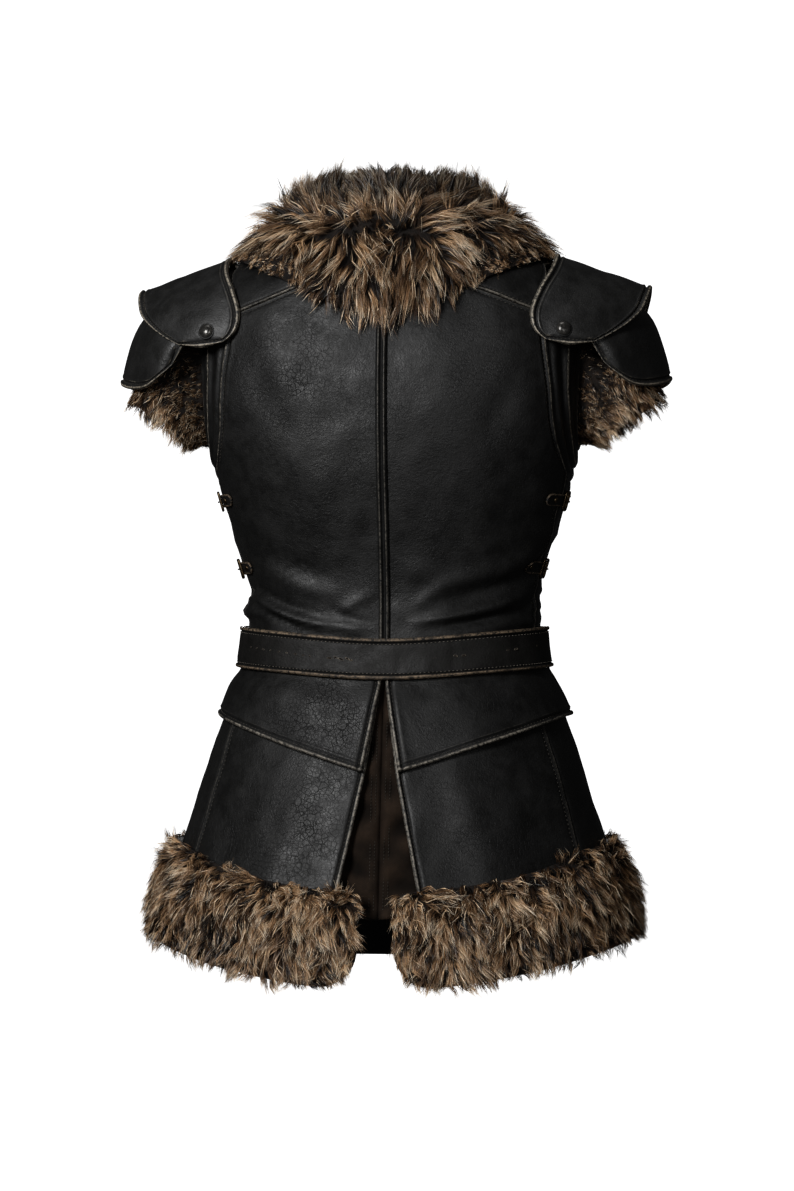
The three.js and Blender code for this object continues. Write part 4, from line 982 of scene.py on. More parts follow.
# ------------------------------------------------------------------ shoulder caps
def cap_points(T, U, W, side):
    def at(u, w):
        r = cat(T, np.abs(w) * (len(T) - 1))
        x, y, z = (lerp(r[..., k], r[..., k + 3], u) for k in range(3))
        d = unit(np.stack([np.full(x.shape, 0.75), y / 75, np.full(x.shape, 0.65)], -1))
        b = r[..., 6] * np.sin(np.pi * u)
        p = np.stack([x, y, z], -1) + d * b[..., None]
        p[..., 1] *= np.where(w < 0, -1, 1)
        return p
    h = 0.004
    p = at(U, W)
    n = unit(np.cross(at(U + h, W) - at(U - h, W), at(U, W + h) - at(U, W - h)))
    want = np.stack([np.full(U.shape, 0.6), p[..., 1] / 60, np.full(U.shape, 0.6)], -1)
    n = np.where(np.sum(n * want, -1, keepdims=True) < 0, -n, n)
    if side < 0:
        p, n = p * [-1, 1, 1], n * [-1, 1, 1]
    return p, n


ROLL = [8.2, 9.8, 10.5]            # more rows for the second rolled line inside a cap's bound edge


def cap(name, node, T, side, size, creases, mat):
    us = spaced(size[0], RIM, RIM, 7, ROLL)
    vs = spaced(size[1], RIM, RIM, 7, ROLL)
    U, V = np.meshgrid(us, vs, indexing="ij")
    W = V * 2 - 1
    W = W * (0.955 + 0.075 * (1 - (2 * U - 1) ** 2))       # the ends are rounded off
    p, n = cap_points(T, U, W, side)
    D = edge_distances(p)
    near = np.minimum(np.minimum(D[0], D[1]), np.minimum(D[2], D[3]))
    # near the corners the two edges share one bead
    h = bead(near, 5.6, 2.3) + 0.85 * np.exp(-((near - 9.0) / 1.15) ** 2)
    for x0, w0, x1, w1, wd, a in creases:
        t = np.clip(((U - x0) * (x1 - x0) * 4 + (W - w0) * (w1 - w0)) / ((x1 - x0) ** 2 * 4 + (w1 - w0) ** 2), 0, 1)
        d = np.hypot((U - x0 - t * (x1 - x0)) * 2, W - w0 - t * (w1 - w0))
        h = h + a * np.exp(-(d / wd) ** 2)
    x = p[..., 0]
    h = h + 0.5 * np.sin(x / 9.0 + p[..., 2] / 13) * smooth(6, 16, near)
    outer, inner = p + n * h[..., None], p - n * CAP_WALL
    wear = np.maximum(rubbed(near, 5.6), 0.5 * np.exp(-((near - 8.8) / 0.6) ** 2))
    # painted shade in the stitched groove inside the bound edge
    ob = slab(name, outer, inner, attrs={"wear": wear, "recess_shade": groove_shade(near, 5.6)}, mats=(mat,))
    give(ob, node)
    # thread in the groove: along each long edge
    res = (ob, outer, n, D)
    for k in range(4):
        stitch_edge(res, k, 6.0, trim=(6, 6), pitch=4.0, length=2.7)
    return p, n


CREASES_U = [(0.25, 0.3, 0.7, 0.45, 0.16, -1.0), (0.3, 0.75, 0.75, 0.55, 0.14, 1.3), (0.6, 0.1, 0.9, 0.25, 0.12, 1.0),
             (0.3, -0.4, 0.7, -0.5, 0.16, -1.0), (0.4, -0.8, 0.7, -0.6, 0.14, 1.2)]
CREASES_L = [(0.3, 0.3, 0.9, 0.4, 0.16, -0.8), (0.5, 0.6, 0.85, 0.7, 0.14, 1.0), (0.4, -0.4, 0.9, -0.3, 0.16, -0.8)]
for sd, nm in ((1, "L"), (-1, "R")):
    cap(f"cap_upper_{nm}_leather", f"cap_upper_{nm}", CAP_UPPER, sd, (95, 290), CREASES_U, M_CAP)
    cap(f"cap_lower_{nm}_leather", f"cap_lower_{nm}", CAP_LOWER, sd, (105, 240), CREASES_L, M_CAP)


def disc(name, centre, n, prof, mat, node, seg=40):
    """A turned head: rows of (radius, height) about a normal."""
    n = n / np.linalg.norm(n)
    a = unit(np.cross(n, [0.3, 0.1, 1.0]))
    b = np.cross(n, a)
    ang = np.linspace(0, 2 * np.pi, seg, endpoint=False)
    rings = [centre + n * h + (np.cos(ang)[:, None] * a + np.sin(ang)[:, None] * b) * r for r, h in prof if r > 1e-6]
    v = np.concatenate(rings + [[centre + n * prof[0][1]], [centre + n * prof[-1][1]]])
    k = len(rings)
    quads, tris = [], []
    for i in range(k - 1):
        for j in range(seg):
            quads.append((i * seg + j, i * seg + (j + 1) % seg, (i + 1) * seg + (j + 1) % seg, (i + 1) * seg + j))
    for j in range(seg):
        tris.append((k * seg, (j + 1) % seg, j))
        tris.append((k * seg + 1, (k - 1) * seg + j, (k - 1) * seg + (j + 1) % seg))
    return give(build(name, v, quads, tris, mats=(mat,)), node)


# a near-black flange under the snap's rim: painted contact shade around the snap
SNAP_SHADE_RING = [(0, 0), (8.0, 0), (8.5, 0.25), (8.5, 0.6), (8.1, 0.8), (7.3, 0.75), (0, 0.7)]
SNAP = [(0, 0.3), (7.1, 0.3), (7.3, 0.9), (7.2, 1.5), (6.7, 2.2), (5.8, 2.95), (4.6, 3.6), (3.1, 4.1), (1.5, 4.35), (0, 4.4)]
for sd, nm in ((1, "L"), (-1, "R")):
    p, n = cap_points(CAP_UPPER, np.array([0.37]), np.array([0.83]), sd)
    disc(f"snap_{nm}_head", p[0] + n[0] * 0.5, n[0], SNAP, M_SNAP, f"snap_{nm}")
    disc(f"snap_{nm}_ring", p[0] + n[0] * 0.5, n[0], SNAP_SHADE_RING, M_SNAP_SHADE, None)

# ------------------------------------------------------------------ belt
BELT_START, BELT_OVER = -93, 42


def belt_points(t, w, off):
    phi = BELT_START + t
    p = (phi + 180) % 360 - 180
    z = belt_top(p) - BELT_WIDTH * w
    lift = 4.3 * smooth(352, 364, t)
    return out(p, s_of_z(z), BELT_OFF + lift + off, worn=0)


us = np.concatenate([np.linspace(0, 352, 190), np.linspace(352, 366, 14)[1:], np.linspace(366, 360 + BELT_OVER, 26)[1:]])
ws = spaced(BELT_WIDTH, RIM, RIM, 4)
U, Wd = np.meshgrid(us, ws, indexing="ij")
base = belt_points(U, Wd, 0.0)
tipx = (U - (360 + BELT_OVER - 9)) / 9
n = unit(belt_points(U, Wd, 1.0) - base)
dd = np.minimum(Wd, 1 - Wd) * BELT_WIDTH
rg = np.random.default_rng(5)
h = BELT_WALL + bead(dd, 4.6, 1.3) - 0.7
t_back = 183                                  # centre back along the strap, degrees from its start


def back_x(t):
    return (t - t_back) * 1.95                # mm, + towards the wearer's right


bx = back_x(U)
# creases across the strap where it bends, and the punched marks
for c, a, wdt, tilt in ((-112, -0.7, 3, 4), (-84, 0.5, 6, -3), (-52, -0.5, 3, 5), (-22, 0.5, 7, 3), (18, -0.45, 3, -4), (44, 0.5, 6, 5),
                        (71, -0.6, 3, -3), (103, 0.5, 6, 3), (128, -0.6, 3, 4), (-133, -0.5, 3, -4)):
    h = h + a * np.exp(-((bx - c - tilt * (Wd - 0.5)) / wdt) ** 2)
h = h + 0.35 * np.sin(bx / 8.5 + 3 * Wd) * smooth(6, 12, dd)
inner = base
outer = base + n * h[..., None]
pt = np.clip((U - (360 + BELT_OVER - 8)) / 8, 0, 1)         # the strap's pointed tongue
mid = belt_points(U, 0.5 + 0 * Wd, 0.0)
sh = 1 - (pt ** 2.2) * 0.72
for A in (outer, inner):
    A[...] = mid + (A - mid) * np.where(pt[..., None] > 0, np.stack([np.ones_like(sh), np.ones_like(sh), sh], -1), 1.0)
ob = slab("belt_strap_leather", outer, inner, attrs={"wear": rubbed(dd, 4.6), "recess_shade": groove_shade(dd, 4.6)}, mats=(M_BELT,))
give(ob, "belt_strap")
gd = (Wd * BELT_WIDTH, (1 - Wd) * BELT_WIDTH)
for w0 in (6.2 / BELT_WIDTH, 1 - 6.2 / BELT_WIDTH):
    t = np.linspace(4, 358 + BELT_OVER - 8, 700)
    P0 = belt_points(t, np.full(t.shape, w0), 0.0)
    N0 = unit(belt_points(t, np.full(t.shape, w0), 1.0) - P0)
    stitch_line(P0 + N0 * (BELT_WALL - 0.6), N0, pitch=4.2, length=2.7, lift=0.35, into=BELT_STITCHES)


def marks():
    """Small punched slots along the back of the belt: a flat dark disc, painted shade for the inside of the hole, with
    a rubbed lip.
    """
    rows = [(-133, .45, .8), (-126, .46, .6), (-119, .47, .9), (-112, .475, .6), (-104, .485, .8), (-97, .49, .6), (-89, .50, .9),
            (-82, .51, .7), (-76, .52, .6), (-57, .525, 1.5), (-51, .50, 1.3), (-45.5, .53, 1.6), (-39, .51, 1.2), (-35, .54, .8),
            (48, .52, 1.2), (54, .515, .8), (73, .50, 1.1), (80, .505, 1.3), (116, .47, .9), (123, .465, 1.2), (144, .44, .8)]
    rr = np.random.default_rng(8)
    hole, lip = [[], []], [[], []]
    th = np.linspace(0, 2 * np.pi, 10, endpoint=False)
    for x, w_, k in rows:
        at = np.array([t_back + x / 1.95])
        P0 = belt_points(at, np.array([w_]), 0.0)[0]
        N0 = unit(belt_points(at, np.array([w_]), 1.0)[0] - P0)
        T0 = unit(belt_points(at + 0.5, np.array([w_]), 0.0)[0] - P0)
        B0 = np.cross(N0, T0)
        g = rr.uniform(-0.5, 0.5)
        A0, C0 = T0 * math.cos(g) + B0 * math.sin(g), -T0 * math.sin(g) + B0 * math.cos(g)
        P0 = P0 + N0 * (BELT_WALL - 0.28)
        ring = lambda f, up: P0 + N0 * up + np.cos(th)[:, None] * A0 * (1.55 * k * f) + np.sin(th)[:, None] * C0 * (0.7 * k ** 0.5 * f)
        n_ = sum(len(v_) for v_ in hole[0])
        hole[0].append(np.concatenate([ring(1.0, 0.12), [P0 + N0 * 0.14]]))
        hole[1] += [(n_ + i, n_ + (i + 1) % 10, n_ + 10) for i in range(10)]
        n_ = sum(len(v_) for v_ in lip[0])
        lip[0].append(np.concatenate([ring(1.0, 0.05), ring(1.15, 0.32), ring(1.5, -0.1)]))
        for j in range(2):
            lip[1] += [(n_ + 10 * j + i, n_ + 10 * j + 10 + i, n_ + 10 * j + 10 + (i + 1) % 10, n_ + 10 * j + (i + 1) % 10) for i in range(10)]
    # painted shade: a flat dark disc stands for the inside of each hole
    give(build("belt_hole_shade", np.concatenate(hole[0]), None, np.array(hole[1]), mats=(M_HIDE,)), None)
    v_ = np.concatenate(lip[0])
    give(build("belt_hole_lips", v_, np.array(lip[1]), attrs={"wear": np.tile(np.repeat([0.9, 0.9, 0.2], 10), len(lip[0]))},
               mats=(M_LIP,)), None)


marks()

# keeper loop
t0, span = 17, 4.2
us = np.linspace(0, 1, 80, endpoint=False)
lo_i, lo_o = 0.6, 1.9


def keeper(u, v, inset):
    lo = np.where(inset, lo_i, lo_o)
    c = np.array([[-lo, -lo], [BELT_WIDTH + lo, -lo], [BELT_WIDTH + lo, 2 * BELT_WALL + 0.9 + lo], [-lo, 2 * BELT_WALL + 0.9 + lo]])
    k = u * 4
    i = np.floor(k).astype(int) % 4
    f = (k - np.floor(k))[..., None]
    q = c[i] * (1 - f) + c[(i + 1) % 4] * f
    p = BELT_START + t0 + v * span
    return out(p, s_of_z(belt_top(p) - q[..., 0]), BELT_OFF + q[..., 1], worn=0)


U, V = np.meshgrid(us, np.linspace(0, 1, 12), indexing="ij")
bul = 0.5 * np.sin(np.pi * V)
P = keeper(U, V, False)
n = unit(np.cross(np.roll(P, -1, 0) - np.roll(P, 1, 0), np.gradient(P, axis=1)))
c0 = P.mean(0, keepdims=True)
if np.sum(n * (P - c0)) < 0:
    n = -n
give(slab("belt_keeper_leather", P + n * (bul * 0.6)[..., None], keeper(U, V, True), closed=True,
          attrs={"wear": rubbed(np.minimum(V, 1 - V) * 9, 3)}, mats=(M_BELT,)), "belt_keeper")


def tube_loop(name, pts, up, r, mat, node, slot, flat=1.0, seg=12):
    """A rounded bar along a closed loop of points; up is the loop's normal."""
    pts = np.asarray(pts, float)
    t = unit(np.roll(pts, -1, 0) - np.roll(pts, 1, 0))
    side = unit(np.cross(up, t))
    a = np.linspace(0, 2 * np.pi, seg, endpoint=False)
    ring = pts[:, None] + side[:, None] * (np.cos(a) * r)[None, :, None] + np.asarray(up)[None, None] * (np.sin(a) * r * flat)[None, :, None]
    n = len(pts)
    q = [(i * seg + j, ((i + 1) % n) * seg + j, ((i + 1) % n) * seg + (j + 1) % seg, i * seg + (j + 1) % seg)
         for i in range(n) for j in range(seg)]
    v, q = ring.reshape(-1, 3), np.array(q)
    if volume(v, q) < 0:
        q = q[:, ::-1]
    return v, q


def rod(a, b, r, seg=10, taper=1.0, bow=None, rings=8):
    """A capped round bar from a to b."""
    a, b = np.asarray(a, float), np.asarray(b, float)
    t = unit(b - a)
    u = unit(np.cross(t, [0.31, 0.77, 0.55]))
    w = np.cross(t, u)
    k = np.linspace(0, 1, rings)
    c = a + (b - a) * k[:, None] + (0 if bow is None else np.asarray(bow) * np.sin(np.pi * k)[:, None])
    rr = r * (1 + (taper - 1) * k) * np.clip(np.sqrt(1 - np.clip(np.abs(k - 0.5) * 2 - 0.8, 0, 0.2) ** 2 / 0.045), 0.35, 1)
    an = np.linspace(0, 2 * np.pi, seg, endpoint=False)
    ring = c[:, None] + (np.cos(an)[:, None] * u + np.sin(an)[:, None] * w)[None] * rr[:, None, None]
    q = [(i * seg + j, i * seg + (j + 1) % seg, (i + 1) * seg + (j + 1) % seg, (i + 1) * seg + j) for i in range(rings - 1) for j in range(seg)]
    v = np.concatenate([ring.reshape(-1, 3), [c[0], c[-1]]])
    m = rings * seg
    tr = [(m, (j + 1) % seg, j) for j in range(seg)] + [(m + 1, (rings - 1) * seg + j, (rings - 1) * seg + (j + 1) % seg) for j in range(seg)]
    return v, np.array(q), np.array(tr)


def joined(parts):
    V, Q, T, o = [], [], [], 0
    for p in parts:
        V.append(p[0])
        Q.append(np.asarray(p[1]) + o)
        if len(p) > 2 and len(p[2]):
            T.append(np.asarray(p[2]) + o)
        o += len(p[0])
    return np.concatenate(V), np.concatenate(Q), (np.concatenate(T) if T else None)


def frame_path(w, h, r, k=7):
    """Centre line of a rounded rectangle."""
    pts = []
    for cx, cy, a0 in ((w / 2 - r, h / 2 - r, 0), (-w / 2 + r, h / 2 - r, 90), (-w / 2 + r, -h / 2 + r, 180), (w / 2 - r, -h / 2 + r, 270)):
        for a in np.linspace(a0, a0 + 90, k):
            pts.append((cx + r * math.cos(a * D2R), cy + r * math.sin(a * D2R)))
    P = np.array(pts)
    Q = []
    for i in range(len(P)):
        a, b = P[i], P[(i + 1) % len(P)]
        m = max(int(np.hypot(*(b - a)) / 2.5), 1)
        Q += [a + (b - a) * j / m for j in range(m)]
    return np.array(Q)


# belt buckle
P = belt_points(np.array([355.5]), np.array([0.5]), 0.0)[0]
nrm = unit(belt_points(np.array([355.5]), np.array([0.5]), 1.0)[0] - P)
ex = unit(np.array([1.0, 0, 0]) - nrm * nrm[0])
ey = np.cross(nrm, ex)
o = belt_points(np.array([357.0]), np.array([0.5]), 10.4)[0]
fp = frame_path(35, 55, 6)
loop = o + fp[:, :1] * ex + fp[:, 1:] * ey
v, q = tube_loop("", loop, nrm, 2.5, None, None, None, flat=0.72, seg=14)
bar = rod(o + ex * 4 - ey * 26, o + ex * 4 + ey * 26, 1.7)
v, q, tr = joined([(v, q), bar])
give(build("belt_buckle_frame", v, q, tr, mats=(M_BRONZE,)), "belt_buckle")
o2 = belt_points(np.array([357.0]), np.array([0.5]), 13.9)[0]
v, q, tr = rod(o2 - ex * 19.5, o2 + ex * 12, 1.9, taper=1.0, bow=nrm * -0.6)
hub = rod(o2 + ex * 6 - ey * 3.4 - nrm * 1.2, o2 + ex * 6 + ey * 3.4 - nrm * 1.2, 1.6)
v, q, tr = joined([(v, q, tr), hub])
give(build("belt_prong_bar", v, q, tr, mats=(M_BRONZE,)), "belt_prong")

# ------------------------------------------------------------------ side straps and buckles
for name, z0, p0, p1 in (("upper", -271, 22, -24), ("lower", -341, 21, -24)):
    for sd, nm in ((1, "L"), (-1, "R")):
        half, wall = 6.2, 2.0
        PH, W = np.meshgrid(np.linspace(p0, p1, 60), np.linspace(-1, 1, 13), indexing="ij")
        ph = PH if sd > 0 else 180 - PH
        e = half * (1 - np.abs(W))
        # rounded ends
        endd = np.minimum(PH - p1, p0 - PH) * 3.0
        sq = np.sqrt(np.clip(1 - (1 - np.clip(endd / half, 0, 1)) ** 2, 0.05, 1))
        Z = z0 - half * W * sq
        base = out(ph, s_of_z(Z), 0.8, worn=1)
        n = normal(ph, s_of_z(Z))
        h = wall + bead(np.minimum(e, 6), 2.2, 0.35) * 0.8
        ob = slab(f"side_strap_{name}_{nm}_leather", base + n * h[..., None], base, attrs={"wear": rubbed(e, 2.2) * 0.7}, mats=(M_BELT,))
        give(ob, f"side_strap_{name}_{nm}")
        pb = 9
        ph0 = pb if sd > 0 else 180 - pb
        s0 = float(s_of_z(z0))
        P = out(np.array(float(ph0)), s0, wall + 2.9)
        N = normal(np.array(float(ph0)), s0)
        A, B = out(np.array(ph0 + 2.0 * sd), s0, 0.0, 0), out(np.array(ph0 - 2.0 * sd), s0, 0.0, 0)
        ex = unit(B - A)
        ex = unit(ex - N * (ex @ N))
        ey = np.cross(N, ex)
        fp = frame_path(14.4, 19.4, 2.4, 5)
        deg = np.linalg.norm(B - A) / 4                      # mm a degree here
        sag_ = lambda x, y: (out(np.array(ph0 - x * sd / deg), s_of_z(z0 - y), 0.0, 0) - out(np.array(float(ph0)), s0, 0.0, 0)) @ N
        bend = np.array([min(sag_(x, y), 0) * 0.8 for x, y in fp])
        P = P - N * 0.7
        v, q = tube_loop("", P + fp[:, :1] * ex + fp[:, 1:] * ey + bend[:, None] * N, N, 1.3, None, None, None, flat=1.0, seg=10)
        bar = rod(P + ex * 1.2 - ey * 9, P + ex * 1.2 + ey * 9, 0.95)
        v, q, tr = joined([(v, q), bar])
        give(build(f"side_buckle_{name}_{nm}_frame", v, q, tr, mats=(M_BRONZE,)), f"side_buckle_{name}_{nm}")
        Q = P + N * 2.1
        v, q, tr = rod(Q - ex * 6.8, Q + ex * 8.2, 0.85)
        give(build(f"side_prong_{name}_{nm}_bar", v, q, tr, mats=(M_BRONZE,)), f"side_prong_{name}_{nm}")
        pr = 17.5 if sd > 0 else 162.5
        C = out(np.array(pr), s0, wall + 0.9)
        disc(f"side_rivet_{name}_{nm}_head", C, normal(np.array(pr), s0), [(0, 0), (3.0, 0), (3.2, .4), (2.8, 1.1), (1.8, 1.7), (.6, 1.95), (0, 2.0)],
             M_BRONZE, f"side_rivet_{name}_{nm}", seg=20)

# ------------------------------------------------------------------ fur
def frames_on(fn, u, v, h=2e-3):
    """Points and unit tangents along u and v of a surface fn(u, v)."""
    p = fn(u, v)
    tu = unit(fn(u + h, v) - fn(u - h, v))
    tv = unit(fn(u, v + h) - fn(u, v - h))
    return p, tu, tv


def hairs(name, P0, P1, P2, width, side, c0, c1, c2, mat):
    """Flat tapering strands, each a curve from P0 to P2, as one joined mesh."""
    m = len(P0)
    mid = 0.25 * P0 + 0.5 * P1 + 0.25 * P2
    rows = [P0 - side * (width * 0.5)[:, None], P0 + side * (width * 0.5)[:, None],
            mid - side * (width * 0.42)[:, None], mid + side * (width * 0.42)[:, None], P2]
    V = np.stack(rows, 1).reshape(-1, 3)
    C = np.stack([c0, c0, c1, c1, c2], 1).reshape(-1, 3)
    k = np.arange(m)[:, None] * 5
    return V, k + [0, 1, 3, 2], k + [2, 3, 4], C


# tones of the fur, darkest to palest
TONES = np.array([[0.003, 0.0019, 0.0014], [0.014, 0.0074, 0.0041], [0.068, 0.035, 0.0165], [0.215, 0.118, 0.056],
                  [0.46, 0.285, 0.152], [0.76, 0.56, 0.360], [0.98, 0.90, 0.74]])


def tone(x):
    x = np.clip(np.asarray(x, float), 0, 1) * (len(TONES) - 1)
    i = np.clip(np.floor(x).astype(int), 0, len(TONES) - 2)
    return TONES[i] + (TONES[i + 1] - TONES[i]) * (x - i)[:, None]


def mottle(p, seed):
    rr = np.random.default_rng(seed)
    h = np.zeros(len(p))
    for l, a in ((60, .5), (34, .4), (20, .3), (12, .2)):
        for _ in range(3):
            f = rr.normal(size=3)
            f = f / np.linalg.norm(f) * 2 * math.pi / l
            h += a * np.sin(p @ f + rr.uniform(0, 6.28))
    return h / 2.6


def fur(name, root_fn, flow_fn, n_clump, per, length, radius, seed, node, widths=(1.25, 0.75), spread=1.0, bounds=None,
        sag=0.25, lie=0.62, tip_mix=0.55, curly=0.24, lock=12, draw=0.42, light=None, dim=None):
    """Clumps of tapering strands on a surface. root_fn(u, v) gives points, normals and the two tangents;
    flow_fn(u, v) gives the lie of the hair as weights on (tu, tv, normal) and a length factor.
    light(u, v) shifts the strands' tone: painted light where it is positive, painted shade where negative;
    dim(u, v) scales their colours down as painted shade."""
    rr = np.random.default_rng(seed)
    # even scatter of clumps: jittered grid in (u, v)
    nv = max(int(math.sqrt(n_clump * bounds[1] / bounds[0])), 2)
    nu = max(int(n_clump / nv), 2)
    iu, iv = np.meshgrid(np.arange(nu), np.arange(nv), indexing="ij")
    u = ((iu + rr.uniform(0.02, 0.98, iu.shape)) / nu).ravel()
    v = ((iv + (iu % 2) * 0.5 * 0 + rr.uniform(0.02, 0.98, iv.shape)) / nv).ravel()
    P, N, TU, TV = root_fn(u, v)
    fu, fv, fn, fl = flow_fn(u, v, rr)
    m = len(u)
    swirl = mottle(P, seed + 5) * 0.9 * spread
    fu = fu + swirl + rr.normal(0, 0.28 * spread, m)
    fv = fv + rr.normal(0, 0.18 * spread, m)
    F = unit(TU * fu[:, None] + TV * fv[:, None] + N * 1e-3)
    L = length * fl * rr.uniform(0.62, 1.28, m)
    up = np.clip(lie + rr.normal(0, 0.13, m), 0.2, 1.2) + fn
    d0 = unit(N * up[:, None] + F * (1.05 - 0.35 * up)[:, None])
    d1 = unit(N * (0.16 * up)[:, None] + F + np.array([0, 0, -sag]) + rr.normal(0, 0.14 * spread, (m, 3)))
    # neighbouring tufts lean together into larger locks; hairs between them are coloured darker as painted shade
    heads = rr.choice(m, max(m // lock, 4), replace=False)
    hd = heads[np.concatenate([np.argmin(np.linalg.norm(P[i:i + 300, None] - P[None, heads], axis=-1), 1) for i in range(0, m, 300)])]
    gap = np.linalg.norm(P - P[hd], axis=1)
    gap = np.clip(gap / (np.percentile(gap, 88) + 1e-6), 0, 1.25)
    L = L * (1.08 - 0.16 * gap) * np.clip(1 + rr.normal(0, 0.13, m)[hd], 0.72, 1.4)
    C1 = P + d0 * (L * 0.52)[:, None]
    C2 = C1 + d1 * (L * 0.55)[:, None]
    C1 = C1 + (C1[hd] + (P - P[hd]) * 0.8 - C1) * (draw * 0.6)
    C2 = C2 + (C2[hd] + (P - P[hd]) * 0.35 - C2) * draw
    d0, d1 = unit(C1 - P), unit(C2 - C1)
    patch = mottle(P, seed + 9)
    # painted shade: the further a tuft's root lies from its lock's head, the darker it is coloured
    shade = 0.74 + 0.24 * patch + rr.normal(0, 0.22, m) + rr.normal(0, 0.20, m)[hd] - 0.66 * gap ** 2
    # painted light and shade added to the tone
    if light is not None:
        shade = shade + light(u, v)
    shade = np.clip(shade, 0.0, 1.0)
    # strands
    K = per
    rep = lambda A: np.repeat(A, K, axis=0)
    M = m * K
    a = rr.uniform(0, 2 * np.pi, M)
    rad = radius * np.sqrt(rr.uniform(0, 1, M))
    root = rep(P) + rep(TU) * (np.cos(a) * rad)[:, None] + rep(TV) * (np.sin(a) * rad)[:, None] - rep(N) * rr.uniform(0.2, 1.2, M)[:, None]
    ls = rr.uniform(0.55, 1.12, M)
    # each clump curls its own way
    curl = rep(unit(np.cross(d0, d1 + 1e-6)) * rr.normal(0, curly, m)[:, None] + N * rr.normal(0, curly * 0.5, m)[:, None])
    own1 = root + (rep(d0) + curl) * (rep(L) * 0.52 * ls)[:, None]
    own2 = own1 + (rep(d1) - curl * 1.3 + rr.normal(0, 0.13, (M, 3))) * (rep(L) * 0.55 * ls)[:, None]
    C2 = rep(C2) + curl * (rep(L) * -0.2)[:, None]
    mix = np.clip(tip_mix + rr.normal(0, 0.2, M), 0.0, 0.95)
    stray = rr.uniform(0, 1, M) < 0.12
    mix = np.where(stray, 0.05, mix)
    P1 = own1 + (rep(C1) - own1) * (mix * 0.35)[:, None]
    P2 = own2 + (rep(P) + (C2 - rep(P)) * ls[:, None] - own2) * mix[:, None] + rr.normal(0, 0.9, (M, 3))
    P2 = np.where(stray[:, None], P2 + rr.normal(0, 3.0, (M, 3)), P2)
    along = unit(P2 - root)
    sd_ = unit(np.cross(along, rep(N)) + 1e-9)
    tw = rr.normal(0, 0.55, M)
    sd_ = sd_ * np.cos(tw)[:, None] + np.cross(along, sd_) * np.sin(tw)[:, None]
    one = rr.uniform(0, 1, M)
    w = rr.uniform(widths[1], widths[0], M) * np.where(stray, 0.6, 1.0) * np.where(one > 0.93, 1.35, 1.0)
    sh = np.clip(rep(shade) + rr.normal(0, 0.15, M), 0, 1)
    # tufts of four kinds: pale tipped, tan throughout, dark, and a few of cream
    kind = rep(np.clip(rr.uniform(0, 1, m) - 0.16 * patch, 0, 1))
    kind = np.clip(kind + rr.normal(0, 0.06, M), 0, 1)
    pick = lambda a_, b_, c_, d_: np.select([kind < 0.07, kind < 0.50, kind < 0.74], [d_, a_, b_], c_)
    c0 = tone(pick(0 * sh, 0.08 * sh, 0 * sh, 0.03 + 0 * sh))
    c1 = tone(np.where(one > 0.93, 0.80, pick(0.22 + 0.46 * sh, 0.30 + 0.42 * sh, 0.02 + 0.20 * sh, 0.56 + 0.24 * sh)))
    c2 = tone(np.where(one > 0.93, 1.0, pick(0.54 + 0.46 * sh, 0.22 + 0.40 * sh, 0.06 + 0.28 * sh, 0.90 + 0.10 * sh)))
    # painted shade: colours scaled down
    if dim is not None:
        k = rep(dim(u, v))[:, None]
        c0, c1, c2 = c0 * k, c1 * k, c2 * (0.35 + 0.65 * k)
    V, q, t, C = hairs(name, root, P1, P2, w, sd_, c0, c1, c2, M_HAIR)
    ob = build(name, V, q, t, colour=C, mats=(M_HAIR,))
    return give(ob, None)


# collar: the reach of the CAD, and a core at about half of it
def collar_section(ang):
    return at_first(COLLAR, np.abs(ang))


def collar_outer(ang, v):
    c = collar_section(ang)
    a = 90 - np.abs(ang)
    tip = face(a, c[..., 11]) + normal(a, c[..., 11]) * 6.5
    rt = np.hypot(tip[..., 0], tip[..., 1])
    pts = np.stack([np.stack([rt, tip[..., 2]], -1)] + [c[..., [k, k + 1]] for k in (9, 7, 5, 3, 1)], -2)
    s = np.clip(v, -0.05, 1.05) * 5
    i = np.clip(np.floor(s).astype(int), 0, 4)
    f = (s - i)[..., None]
    G = np.concatenate([2 * pts[..., :1, :] - pts[..., 1:2, :], pts, 2 * pts[..., -1:, :] - pts[..., -2:-1, :]], -2)
    g = lambda k: np.take_along_axis(G, (i + k)[..., None, None] + np.zeros((1, 2), int), -2)[..., 0, :]
    p0, p1, p2, p3 = g(0), g(1), g(2), g(3)
    q = 0.5 * (2 * p1 + (p2 - p0) * f + (2 * p0 - 5 * p1 + 4 * p2 - p3) * f * f + (-p0 + 3 * p1 - 3 * p2 + p3) * f ** 3)
    sg = np.where(ang >= 0, 1.0, -1.0)
    return np.stack([q[..., 0] * np.cos(a * D2R) * sg, q[..., 0] * np.sin(a * D2R), q[..., 1]], -1)


def collar_inner(ang, v):
    c = collar_section(ang)
    a = 90 - np.abs(ang)
    s1 = neck_s(a)
    low = np.clip(v / 0.7, 0, 1)
    S = c[..., 11] + (s1 - c[..., 11]) * low
    p = face(a, S) + normal(a, S) * 3.0
    pn = face(a, s1) + normal(a, s1) * 3.0
    t = np.clip((v - 0.7) / 0.3, 0, 1)
    r = np.hypot(pn[..., 0], pn[..., 1])
    rr_ = r + (c[..., 1] - 7 - r) * t
    zz = pn[..., 2] + (c[..., 2] - 3 - pn[..., 2]) * t
    w = np.stack([rr_ * np.cos(a * D2R), rr_ * np.sin(a * D2R), zz], -1)
    p = np.where((v > 0.7)[..., None], w, p)
    sg = np.where(ang >= 0, 1.0, -1.0)
    return p * np.stack([sg, np.ones_like(sg), np.ones_like(sg)], -1)


def collar_core(ang, v, k):
    return collar_inner(ang, v) + (collar_outer(ang, v) - collar_inner(ang, v)) * k


